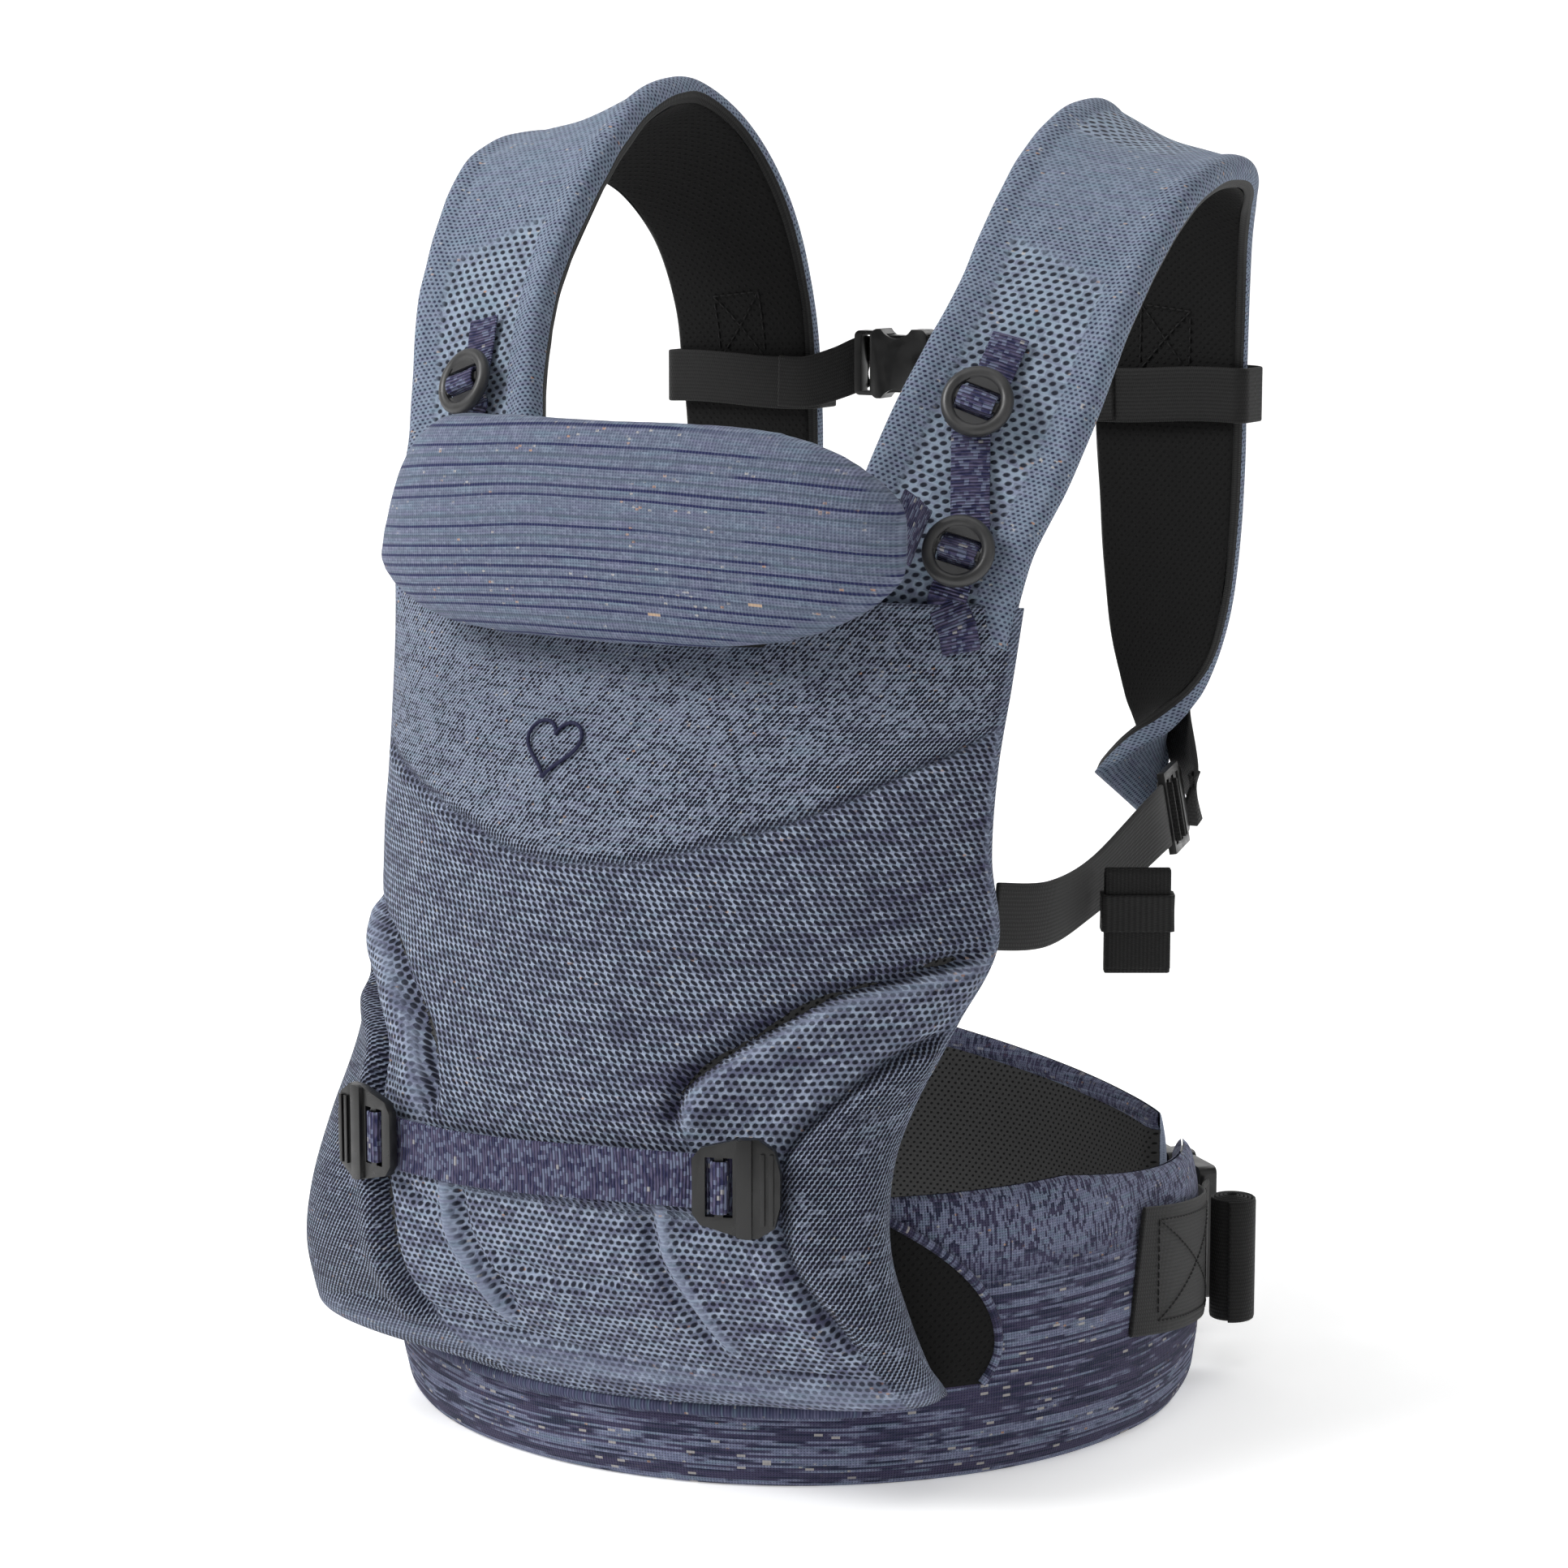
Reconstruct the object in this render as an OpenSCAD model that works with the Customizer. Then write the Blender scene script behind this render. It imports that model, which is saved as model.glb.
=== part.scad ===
// Soft structured baby carrier, stood up on its closed waist belt.
// Millimetres. +X is the viewer's right, -Y is the front, +Z is up.
// The origin is on the floor, under the middle of the whole carrier.
// The modules are drawn about the belt ring's axis, and stand() shifts them at the end.

/* [Waist belt] */
// Outer radius of the closed belt ring
belt_r = 161; // [155:1:163]
// Thickness of the padded belt
belt_t = 14; // [12:1:18]
// Height of the belt at the hips
belt_h = 109; // [100:1:115]
// Thickness of the knitted belt cover
belt_cover_t = 2.5; // [1.5:0.5:3]
// Angle where the front end of the belt stops
belt_end_front = 29; // [25:1:31]
// Angle where the back end of the belt stops
belt_end_back = 45; // [43:1:50]
// Width of the waist webbing
waist_webbing_w = 50; // [40:1:50]

/* [Front panel] */
// Thickness of the knitted front panel
panel_t = 2.4; // [1.5:0.1:3]
// Thickness of the panel's inner lining
lining_t = 1.6; // [1:0.1:2]
// Height of the seat adjuster band
seat_band_w = 20; // [16:1:24]

/* [Shoulder straps] */
// Height of the flat outer face above the strap's middle surface
strap_out = 5.5; // [5:0.5:7]
// Depth of the inner face below the strap's middle surface
strap_in = 6; // [5:0.5:7]
// Width of the knitted band that the ring buttons ride on
button_band_w = 14.5; // [12:0.5:15]
// Width of the underarm webbing
small_webbing_w = 25; // [20:1:25]
// Width of the chest webbing
chest_webbing_w = 22; // [20:1:25]
// Thickness of all webbing
webbing_t = 1.6; // [1.2:0.1:2]

/* [Headrest] */
// Half width of the headrest pillow
pillow_half_w = 114; // [105:1:118]
// Thickness of the pillow at its middle
pillow_t = 36; // [28:1:38]
// Thickness of the pillow's knitted cover
pillow_cover_t = 2; // [1:0.5:3]

/* [Buttons and buckles] */
// Outer diameter of a ring button
ring_d = 27; // [26:1:28]
// Thickness of a ring button's rim
ring_rim_t = 5; // [4:0.5:5]
// Width of the window in a ring button
ring_window_w = 15.6; // [15.5:0.1:17]
// Height of a D-shaped seat slider
slider_h = 36; // [32:1:38]
// Clearance between pieces that slide in each other
clear = 0.4; // [0.3:0.1:0.6]

/* [Hidden] */

knit_blue = [0.46, 0.53, 0.64];
knit_navy = [0.20, 0.21, 0.36];
knit_melange = [0.30, 0.31, 0.45];
mesh_black = [0.12, 0.12, 0.12];
webbing_black = [0.10, 0.10, 0.10];
plastic_grey = [0.25, 0.25, 0.26];
foam_grey = [0.75, 0.75, 0.72];

round_fn = 64;
step = 0.002;

// ---- Vectors and curves ----

function unit(v) = v / norm(v);
function mix(a, b, t) = a * (1 - t) + b * t;
function clamp01(t) = min(max(t, 0), 1);
// Smooth curve through a list of keys, s from 0 to 1
function along(keys, s) =
    let (
        last = len(keys) - 1,
        x = clamp01(s) * last,
        i = min(floor(x), last - 1),
        t = x - i,
        a = keys[max(i - 1, 0)],
        b = keys[i],
        c = keys[i + 1],
        d = keys[min(i + 2, last)]
    )
    0.5 * (2 * b + (c - a) * t + (2 * a - 5 * b + 4 * c - d) * t * t + (3 * b - a - 3 * c + d) * t * t * t);
function bezier(a, b, c, d, t) =
    a * pow(1 - t, 3) + b * 3 * pow(1 - t, 2) * t + c * 3 * (1 - t) * t * t + d * pow(t, 3);

// ---- Solids from two grids of points ----

function quad(a, b, c, d, turn) =
    turn ? [[a, c, b], [a, d, c]] : [[a, b, c], [a, c, d]];

// Closed solid between two grids, each a list of rows of points
module slab(top, bottom) {
    m = len(top);
    n = len(top[0]);
    o = m * n;
    points = concat([for (row = top) each row], [for (row = bottom) each row]);
    i0 = floor(m / 2) - 1;
    j0 = floor(n / 2) - 1;
    outward = cross(top[i0 + 1][j0] - top[i0][j0], top[i0][j0 + 1] - top[i0][j0])
        * (top[i0][j0] - bottom[i0][j0]) > 0;
    faces = concat(
        [for (i = [0 : m - 2], j = [0 : n - 2])
            each quad(i * n + j, (i + 1) * n + j, (i + 1) * n + j + 1, i * n + j + 1, outward)],
        [for (i = [0 : m - 2], j = [0 : n - 2])
            each quad(o + i * n + j, o + i * n + j + 1, o + (i + 1) * n + j + 1, o + (i + 1) * n + j, outward)],
        [for (i = [0 : m - 2])
            each quad((i + 1) * n, i * n, o + i * n, o + (i + 1) * n, outward)],
        [for (i = [0 : m - 2])
            each quad((i + 1) * n - 1, (i + 2) * n - 1, o + (i + 2) * n - 1, o + (i + 1) * n - 1, outward)],
        [for (j = [0 : n - 2])
            each quad((m - 1) * n + j + 1, (m - 1) * n + j, o + (m - 1) * n + j, o + (m - 1) * n + j + 1, outward)],
        [for (j = [0 : n - 2])
            each quad(j, j + 1, o + j + 1, o + j, outward)]
    );
    polyhedron(points = points, faces = faces, convexity = 10);
}

// Mirrors its children to the left side when s is -1
module side(s) {
    if (s < 0) mirror([1, 0, 0]) children();
    else children();
}

// Places its children at a point, with local x and z axes given; y follows
module place(o, x, z) {
    y = cross(z, x);
    multmatrix([
        [x[0], y[0], z[0], o[0]],
        [x[1], y[1], z[1], o[1]],
        [x[2], y[2], z[2], o[2]],
        [0, 0, 0, 1]
    ]) children();
}

// Flat plate with rounded corners, middle on the origin
module round_plate(size, r, t) {
    linear_extrude(height = t, center = true) {
        square([size[0] - 2 * r, size[1]], center = true);
        square([size[0], size[1] - 2 * r], center = true);
        for (x = [-1, 1], y = [-1, 1])
            translate([x * (size[0] / 2 - r), y * (size[1] / 2 - r)]) circle(r, $fn = round_fn);
    }
}

// Ribbon of webbing along a list of centres, with its width direction from a second list
module ribbon(centres, widths, w, t, rows) {
    function c(s) = along(centres, s);
    function b(s) = unit(along(widths, s));
    function tangent(s) = unit(c(s + step) - c(s - step));
    function across(s) = unit(b(s) - tangent(s) * (b(s) * tangent(s)));
    function face(s) = cross(across(s), tangent(s));
    function p(s, v, h) = c(s) + across(s) * v * w / 2 + face(s) * h;
    slab(
        [for (i = [0 : rows]) let (s = mix(step, 1 - step, i / rows)) [for (v = [-1, 0, 1]) p(s, v, t / 2)]],
        [for (i = [0 : rows]) let (s = mix(step, 1 - step, i / rows)) [for (v = [-1, 0, 1]) p(s, v, -t / 2)]]
    );
}

// ---- Waist belt ----

belt_back_arc = 360 - belt_end_back + belt_end_front;
belt_drop_deg = 12;
belt_drop_at = 84;
closure_deg = (belt_end_front + belt_end_back) / 2;

// Part of a ring round the z axis, from angle a1 to a2
module sector(r1, r2, a1, a2, z1, z2) {
    rotate([0, 0, a1])
        rotate_extrude(angle = a2 - a1, $fn = 128)
            translate([r1, z1]) square([r2 - r1, z2 - z1]);
}

// Everything above the belt's top edge, which dips towards the closure
module above_belt() {
    rotate([0, 0, closure_deg])
        translate([belt_drop_at, 0, belt_h])
            rotate([0, belt_drop_deg, 0])
                translate([0, -2 * belt_r, 0]) cube([3 * belt_r, 4 * belt_r, belt_h]);
}

// One layer of the belt, trimmed to the belt's outline
module belt_layer(r1, r2, z1, z2, margin) {
    difference() {
        sector(r1, r2, belt_end_back + margin, belt_end_back + belt_back_arc - margin, z1, z2);
        above_belt();
    }
}

module waist_belt_cover() {
    color(knit_navy) belt_layer(belt_r - belt_cover_t, belt_r, 0, belt_h, 0);
}
module waist_belt_foam() {
    color(foam_grey) translate([0, 0, -0.5])
        belt_layer(belt_r - belt_t + 2.2, belt_r - belt_cover_t - 0.2, 2.5, belt_h, 1);
}
module waist_belt_lining() {
    color(mesh_black) belt_layer(belt_r - belt_t, belt_r - belt_t + 2, 1, belt_h, 0);
}

// Black mesh inset behind the lower edge of each leg opening
gusset_deg = -45;
gusset_z = 66;
gusset_half_h = 38;
gusset_half_w = 28;
gusset_t = 1.2;
module leg_gusset(s) {
    side(s) color(mesh_black) intersection() {
        sector(belt_r + 0.2, belt_r + 0.2 + gusset_t, gusset_deg - 30, gusset_deg + 30, 1, belt_h);
        rotate([0, 0, gusset_deg])
            translate([belt_r, 0, gusset_z])
                rotate([0, 90, 0])
                    linear_extrude(height = 40, center = true) {
                        circle(gusset_half_w, $fn = round_fn);
                        square([2 * (gusset_half_h - gusset_half_w), 2 * gusset_half_w], center = true);
                        for (z = [-1, 1])
                            translate([z * (gusset_half_h - gusset_half_w), 0]) circle(gusset_half_w, $fn = round_fn);
                    }
    }
}

// ---- Front panel ----

// Level, middle depth, first handle's x, second handle's x and depth, free edge's x and depth
hem_z = 34;
hem_r = belt_r + panel_t + 0.6;
PANEL_KEYS = [
    [hem_z, hem_r, 0.3 * hem_r, 0.59 * hem_r, 0.86 * hem_r, 0.777 * hem_r, 0.629 * hem_r],
    [40, 167, 62, 150, 160, 127, 113],
    [52, 172, 72, 163, 166, 123, 122],
    [74, 184, 70, 162, 174, 119, 132],
    [98, 189, 60, 154, 176, 116, 138],
    [124, 190, 60, 140, 165, 116, 135],
    [150, 186, 60, 112, 162, 121, 126],
    [176, 177, 60, 110, 150, 128, 108],
    [202, 167, 58, 114, 138, 135, 92],
    [234, 154, 56, 114, 128, 133, 94],
    [266, 142, 56, 114, 118, 133, 90],
    [296, 124, 54, 112, 109, 135, 84],
    [324, 110, 52, 110, 99, 137, 80],
];
function panel_at(u, s) =
    let (
        k = along(PANEL_KEYS, s),
        p = bezier([0, -k[1]], [k[2], -k[1]], [k[3], -k[4]], [k[5], -k[6]], abs(u))
    )
    [sign(u) * p[0], p[1], k[0]];
function panel_normal(u, s) =
    let (
        du = panel_at(u + step, s) - panel_at(u - step, s),
        ds = panel_at(u, min(s + step, 1)) - panel_at(u, max(s - step, 0))
    )
    unit(cross(du, ds));
function panel_point(u, s, h) = panel_at(u, s) + panel_normal(u, s) * h;
// Row of the panel's keys that passes through the height z
function panel_row(z, lo = 0, hi = 1, n = 18) =
    n == 0 ? (lo + hi) / 2
    : let (m = (lo + hi) / 2) along(PANEL_KEYS, m)[0] < z ? panel_row(z, m, hi, n - 1) : panel_row(z, lo, m, n - 1);
// Place across the panel where its x is reached on row s
function panel_col(x, s, lo = 0, hi = 0.8, n = 18) =
    n == 0 ? (lo + hi) / 2
    : let (m = (lo + hi) / 2) panel_at(m, s)[0] < x ? panel_col(x, s, m, hi, n - 1) : panel_col(x, s, lo, m, n - 1);

module panel_sheet(u_max, s_min, s_max, h1, h2, rows, cols) {
    function grid(h) = [for (i = [0 : rows])
        [for (j = [0 : cols])
            panel_point(mix(-u_max, u_max, j / cols), mix(s_min, s_max, i / rows), h)]];
    slab(grid(h2), grid(h1));
}

// What the neckline takes out of the panel's top edge, under the headrest
neck_z = 307;
neck_half_w = 58;
neck_r = 12;
module neckline() {
    rotate([90, 0, 0]) linear_extrude(height = 2 * belt_r) {
        translate([-neck_half_w, neck_z + neck_r]) square([2 * neck_half_w, 40]);
        translate([-neck_half_w + neck_r, neck_z]) square([2 * (neck_half_w - neck_r), 40]);
        for (x = [-1, 1])
            translate([x * (neck_half_w - neck_r), neck_z + neck_r]) circle(neck_r, $fn = round_fn);
    }
}
lining_gap = 0.5;
module front_panel() {
    color(knit_blue) difference() {
        panel_sheet(1, 0, 1, -panel_t, 0, 24, 24);
        neckline();
    }
}
module panel_lining() {
    color(mesh_black) difference() {
        panel_sheet(0.98, panel_row(58), 0.99, -panel_t - lining_gap - lining_t, -panel_t - lining_gap, 22, 24);
        neckline();
    }
}
// Knitted strip that closes the seam between the panel and the belt
module seat_hem() {
    color(knit_blue) sector(belt_r + 0.3, belt_r + 2.6, -128, -52, hem_z - 6, hem_z - 0.4);
}

// Small heart outline stitched on the chest
emblem_x = -25;
emblem_z = 272;
emblem_r = 6.5;
module heart(r) {
    polygon([[-2 * r * 0.94, -r * 0.35], [0, -2.5 * r], [2 * r * 0.94, -r * 0.35], [0, 0.6 * r]]);
    for (x = [-1, 1]) translate([x * r * 0.98, 0]) circle(r, $fn = round_fn);
}
module emblem() {
    s = panel_row(emblem_z);
    u = -panel_col(-emblem_x, s);
    n = panel_normal(u, s);
    color(knit_navy) place(panel_point(u, s, 1.5), unit(cross([0, 0, 1], n)), n)
        linear_extrude(height = 0.8, center = true) difference() {
            heart(emblem_r);
            heart(emblem_r - 1.2);
        }
}

// Band across the seat, and the two sliders on it
band_z = 124;
slider_x = 78;
band_row = panel_row(band_z);
slider_col = panel_col(slider_x, band_row);
slider_n = panel_normal(slider_col, band_row);
slider_flat_n = unit([slider_n[0], slider_n[1], 0]);
slider_along = [-slider_flat_n[1], slider_flat_n[0], 0];
slider_o = panel_point(slider_col, band_row, 6.6);
slider_t = 3.4;
slider_w = 32;
slider_slot_w = 3.4;
module seat_band() {
    rows = 20;
    u_max = slider_col;
    function c(i, h, z) = panel_point(mix(-u_max, u_max, i / rows), band_row, h) + [0, 0, z];
    function grid(h) = [for (i = [0 : rows]) [for (z = [-1, 0, 1]) c(i, h, z * seat_band_w / 2)]];
    color(knit_melange) slab(grid(3.1), grid(1.9));
}
// D-shaped outline: straight on the outer side, bevelled towards the middle
module slider_outline() {
    polygon([
        [-16, -10], [-13, -14], [2, -18], [8, -18], [14, -14], [16, -6],
        [16, 6], [14, 14], [8, 18], [2, 18], [-13, 14], [-16, 10]
    ] * (slider_h / 36));
}
// Left ends of the two slots, with the bar between them
SLOT_X = [-11.2, -4.6];
module slider_slots() {
    for (x = SLOT_X)
        translate([x, -seat_band_w / 2 - 0.8]) square([slider_slot_w, seat_band_w + 1.6]);
}
module seat_slider(s) {
    side(s) color(plastic_grey) place(slider_o, slider_along, slider_flat_n) {
        linear_extrude(height = slider_t, center = true) difference() {
            slider_outline();
            slider_slots();
        }
        translate([0.5, 0, slider_t / 2]) linear_extrude(height = 1.6)
            intersection() {
                slider_outline();
                translate([0, -20]) square([5.5, 40]);
            }
        for (x = [9, 12.2])
            translate([x, 0, slider_t / 2]) linear_extrude(height = 1.2)
                intersection() {
                    translate([-x, 0]) slider_outline();
                    translate([0, -13]) square([1.6, 26]);
                }
    }
}
// The turn of band that goes up through one slot, over the bar and down the other
module slider_wrap(s) {
    bar_x = (SLOT_X[0] + slider_slot_w + SLOT_X[1]) / 2;
    half = 2.5;
    side(s) color(knit_melange) place(slider_o, slider_along, slider_flat_n)
        translate([bar_x, 0, 0]) rotate([90, 0, 0])
            linear_extrude(height = seat_band_w - 0.6, center = true) difference() {
                translate([-half - 0.6, -2.6]) square([2 * half + 1.2, 5.9]);
                translate([-half + 0.6, -3]) square([2 * half - 1.2, 5.1]);
            }
}

// ---- Shoulder straps ----

strap_foot_z = 324.6;
// Everything below the level where the straps are sewn to the panel
module below_straps() {
    translate([-2 * belt_r, -2 * belt_r, strap_foot_z - 100]) cube([4 * belt_r, 2 * belt_r, 100]);
}
// Inner and outer edges of the right strap, from the panel up and over to the back
STRAP_INNER = [
    [62, -101, 318], [70, -87, 350], [76, -74, 376], [83, -57, 405], [88, -37, 432],
    [88, -11, 459], [88, 16, 482], [88, 46, 497], [88, 76, 501], [82, 101, 487],
    [73, 118, 460], [68, 128, 425], [66, 131, 385], [67, 134, 345], [69, 136, 310],
    [73, 136, 283], [80, 138, 264], [91, 138, 247], [98, 128, 232], [99, 117, 221],
];
STRAP_OUTER = [
    [134, -80, 318], [138, -68, 350], [144, -51, 376], [151, -39, 402], [156, -28, 426],
    [160, -8, 451], [162, 14, 468], [161, 44, 476], [157, 74, 475], [147, 99, 467],
    [138, 117, 447], [133, 127, 418], [131, 131, 385], [129, 134, 345], [125, 136, 310],
    [119, 136, 283], [112, 127, 265], [102, 114, 251], [90, 103, 241], [82, 95, 231],
];
function strap_mid(s) = (along(STRAP_INNER, s) + along(STRAP_OUTER, s)) / 2;
function strap_half(s) = norm(along(STRAP_OUTER, s) - along(STRAP_INNER, s)) / 2;
function strap_run(s) = unit(strap_mid(min(s + step, 1)) - strap_mid(max(s - step, 0)));
function strap_across(s) =
    let (w = along(STRAP_OUTER, s) - along(STRAP_INNER, s), t = strap_run(s)) unit(w - t * (w * t));
function strap_normal(s) = cross(strap_across(s), strap_run(s));
// Point on the strap: s along it, v across it in millimetres, h above its middle surface
function strap_point(s, v, h) = strap_mid(s) + strap_across(s) * v + strap_normal(s) * h;

EDGE_COLS = [-1, -0.93, -0.8, -0.5, 0, 0.5, 0.8, 0.93, 1];
function roll(v) = 1.2 * exp(-pow((abs(v) - 0.8) / 0.12, 2)) - 3.2 * pow(abs(v), 16);
module strap_layer(cols, scale_v, h1, h2, s1, s2, rolled, rows = 34) {
    function grid(h, r) = [for (i = [0 : rows]) let (s = mix(s1, s2, i / rows))
        [for (v = cols) strap_point(s, v * strap_half(s) * scale_v, h + r * roll(v))]];
    slab(grid(h2, rolled ? 1 : 0), grid(h1, 0));
}
module strap_cover(s) {
    side(s) color(knit_blue) difference() {
        strap_layer(EDGE_COLS, 1, 0.8, strap_out, 0, 1, true);
        below_straps();
    }
}
module strap_foam(s) {
    side(s) color(foam_grey) difference() {
        strap_layer([-1, -0.5, 0, 0.5, 1], 0.9, -strap_in + 2.4, 0.3, 0.01, 0.97, false);
        below_straps();
    }
}
module strap_lining(s) {
    side(s) color(mesh_black) difference() {
        strap_layer([-1, -0.5, 0, 0.5, 1], 0.97, -strap_in, -strap_in + 1.8, 0, 0.99, false);
        below_straps();
    }
}

// ---- Ring buttons and the band that they ride on ----

// Share of the strap's length, on its front part, where its middle is at the height z
function strap_row(z, lo = 0, hi = 0.35, n = 18) =
    n == 0 ? (lo + hi) / 2
    : let (m = (lo + hi) / 2) strap_mid(m)[2] < z ? strap_row(z, m, hi, n - 1) : strap_row(z, lo, m, n - 1);
RING_Z = [390.5, 343.5];
RING_V = [-5, 12];
RING_S = [for (z = RING_Z) strap_row(z)];
ring_lift = strap_out + 7;
ring_bar_w = 4;
ring_bar_t = 3;
ring_window_h = 10.8;
ring_web_t = 2.4;
function ring_o(i) = strap_point(RING_S[i], RING_V[i], ring_lift);

module ring_button(i, s) {
    rim_r = ring_rim_t / 2;
    side(s) color(plastic_grey)
        place(ring_o(i), strap_across(RING_S[i]), strap_normal(RING_S[i])) {
            difference() {
                union() {
                    rotate_extrude($fn = round_fn)
                        translate([ring_d / 2 - rim_r, 0]) circle(rim_r, $fn = 32);
                    cylinder(r = ring_d / 2 - rim_r, h = ring_web_t, center = true, $fn = round_fn);
                }
                cube([ring_window_w, ring_window_h, 2 * ring_rim_t], center = true);
            }
            cube([ring_window_w + 1, ring_bar_w, ring_bar_t], center = true);
        }
}

// Distance along the band from a ring's middle, and height above the strap's middle surface
BAND_RISE = [[11, 0.8], [7.6, 1.4], [5, 3.2], [3.9, 5.2], [3.5, 7.2], [2.9, 9.6], [0, 10.4]];
band_pitch = norm(strap_mid(RING_S[0]) - strap_mid(RING_S[1]));
band_above_ring = 30;
ring_probe = 0.01;
module button_band(s) {
    s_per_mm = (RING_S[0] - RING_S[1]) / band_pitch;
    bottom_s = strap_row(strap_foot_z) + 0.004;
    hump = concat([for (k = BAND_RISE) [-k[0], k[1]]], [for (i = [len(BAND_RISE) - 2 : -1 : 0]) BAND_RISE[i]]);
    // Share of the strap's run for a millimetre at the ring's own height
    function ring_scale(i) = 2 * ring_probe / norm(
        strap_point(RING_S[i] + ring_probe, RING_V[i], ring_lift) - strap_point(RING_S[i] - ring_probe, RING_V[i], ring_lift)
    );
    function path(i) = [for (k = hump) [RING_S[i] + k[0] * ring_scale(i), k[1]]];
    top_s = RING_S[0] + band_above_ring * s_per_mm;
    route = concat([[bottom_s, 0.8]], path(1), path(0), [[top_s, 0.8]]);
    // Straight through both rings, and slanted only between them
    function drift(t) = mix(RING_V[1], RING_V[0], clamp01(((t - RING_S[1]) / s_per_mm - 8) / (band_pitch - 16)));
    function p(k, v, h) =
        let (
            q = route[k],
            a = route[max(k - 1, 0)],
            b = route[min(k + 1, len(route) - 1)],
            run = [(b[0] - a[0]) / s_per_mm, b[1] - a[1]],
            n = unit([-run[1], run[0]])
        )
        strap_point(q[0] + n[0] * h * s_per_mm, drift(q[0]) + v, strap_out + q[1] + n[1] * h);
    half = button_band_w / 2;
    side(s) color(knit_melange) slab(
        [for (k = [0 : len(route) - 1]) [for (v = [-half, 0, half]) p(k, v, 0.5)]],
        [for (k = [0 : len(route) - 1]) [for (v = [-half, 0, half]) p(k, v, -0.5)]]
    );
}

// ---- Headrest ----

pillow_low = 303;
pillow_high = 391;
pillow_y = -131;
pillow_curl = 15;
// Lower and upper outline of the pillow at a share q of its half width
function pillow_bottom(q) = pillow_low + 25 * pow(abs(q), 6);
function pillow_top(q) = pillow_high - 40 * pow(abs(q), 2.6);
function pillow_point(q, w, face, inset) =
    let (
        half_w = pillow_half_w - inset,
        x = q * half_w,
        z1 = pillow_bottom(q) + inset,
        z2 = pillow_top(q) - inset,
        round_w = sqrt(max(1 - pow(abs(2 * w - 1), 2.4), 0.001)),
        round_q = sqrt(max(1 - pow(abs(q), 6), 0.02)),
        half_t = (pillow_t / 2 - inset) * round_w * round_q
    )
    [x, pillow_y + pillow_curl * q * q - face * max(half_t, 0.3), mix(z1, z2, w)];
module pillow_form(inset) {
    cols = 16;
    W = [0, 0.02, 0.08, 0.2, 0.4, 0.6, 0.8, 0.92, 0.98, 1];
    Q = [for (j = [0 : cols]) sin(mix(-90, 90, j / cols))];
    slab(
        [for (w = W) [for (q = Q) pillow_point(q, w, 1, inset)]],
        [for (w = W) [for (q = Q) pillow_point(q, w, -1, inset)]]
    );
}
module headrest_cover() {
    color(knit_blue) difference() {
        pillow_form(0);
        pillow_form(pillow_cover_t);
    }
}
module headrest_foam() {
    color(foam_grey) pillow_form(pillow_cover_t + 0.3);
}
tab_w = 22;
tab_t = 1;
tab_reach = ring_d / 2 + 1.5;
// Height of the tab's outer end above the strap's middle surface
tab_h = strap_out + 7.2;
module headrest_tab(s) {
    i = 1;
    a = strap_across(RING_S[i]);
    o = strap_point(RING_S[i], RING_V[i], tab_h);
    start = pillow_point(0.9, 0.72, -1, 0) + [0, 1.4, 0];
    end = o - a * tab_reach;
    side(s) color(knit_melange) ribbon(
        [start, mix(start, end, 0.5) + [1, 0, 0], end],
        [strap_run(RING_S[i]), strap_run(RING_S[i])], tab_w, tab_t, 5
    );
}

// ---- Underarm webbing, its ladder lock and its tidy tail ----

lock_o = [121, 91, 225];
lock_run = unit([0.22, -0.97, -0.05]);
lock_up = unit([-0.16, -0.05, 1] - lock_run * ([-0.16, -0.05, 1] * lock_run));
lock_n = cross(lock_run, lock_up);
lock_len = 26;
lock_h = 33;
lock_t = 3;
lock_pitch = 8.5;
lock_slot_w = 4;
module ladder_lock(s) {
    side(s) color(plastic_grey) place(lock_o, lock_run, lock_n) {
        linear_extrude(height = lock_t, center = true) difference() {
            square([lock_len, lock_h], center = true);
            for (x = [-lock_pitch, 0, lock_pitch])
                translate([x, 0]) square([lock_slot_w, small_webbing_w + 1.6], center = true);
        }
        translate([-lock_len / 2 - 3, 0, 1])
            round_plate([10, lock_h - 6], 3, lock_t);
    }
}
lock_rear = lock_len / 2;
module lock_loop(s) {
    side(s) color(webbing_black) ribbon(
        [strap_point(0.84, 0, strap_out + 4.4), strap_point(0.88, 0, strap_out + 4.6),
            lock_o - lock_run * (lock_rear + 15) - lock_n * 3, lock_o - lock_run * (lock_rear + 9.6) - lock_n],
        [strap_across(0.86), lock_up], small_webbing_w - 2, webbing_t, 10
    );
}
// Turn of webbing over the middle bar of a ladder lock
module lock_wrap(s) {
    half = lock_pitch / 2;
    side(s) color(webbing_black) place(lock_o, lock_run, lock_n)
        translate([half, 0, 0]) rotate([90, 0, 0])
            linear_extrude(height = small_webbing_w - 0.6, center = true) difference() {
                translate([-half - 0.8, -3.4]) square([2 * half + 1.6, 7.2]);
                translate([-half + 0.8, -4]) square([2 * half - 1.6, 6.2]);
            }
}
panel_anchor = [134, -86, 211];
module underarm_webbing(s) {
    front = lock_o + lock_run * (lock_len / 2 + 1.5);
    side(s) color(webbing_black) ribbon(
        [panel_anchor, panel_anchor + [4, 30, -3], [130, 0, 209], front + lock_run * 22, front],
        [[0, 0, 1], [0.1, 0, 1], lock_up], small_webbing_w, webbing_t, 16
    );
}
tail_x = 147;
tail_y = 2.5;
tail_deg = 120;
tail_top = 217;
tail_bottom = 176;
tail_half = 4.4;
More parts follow.
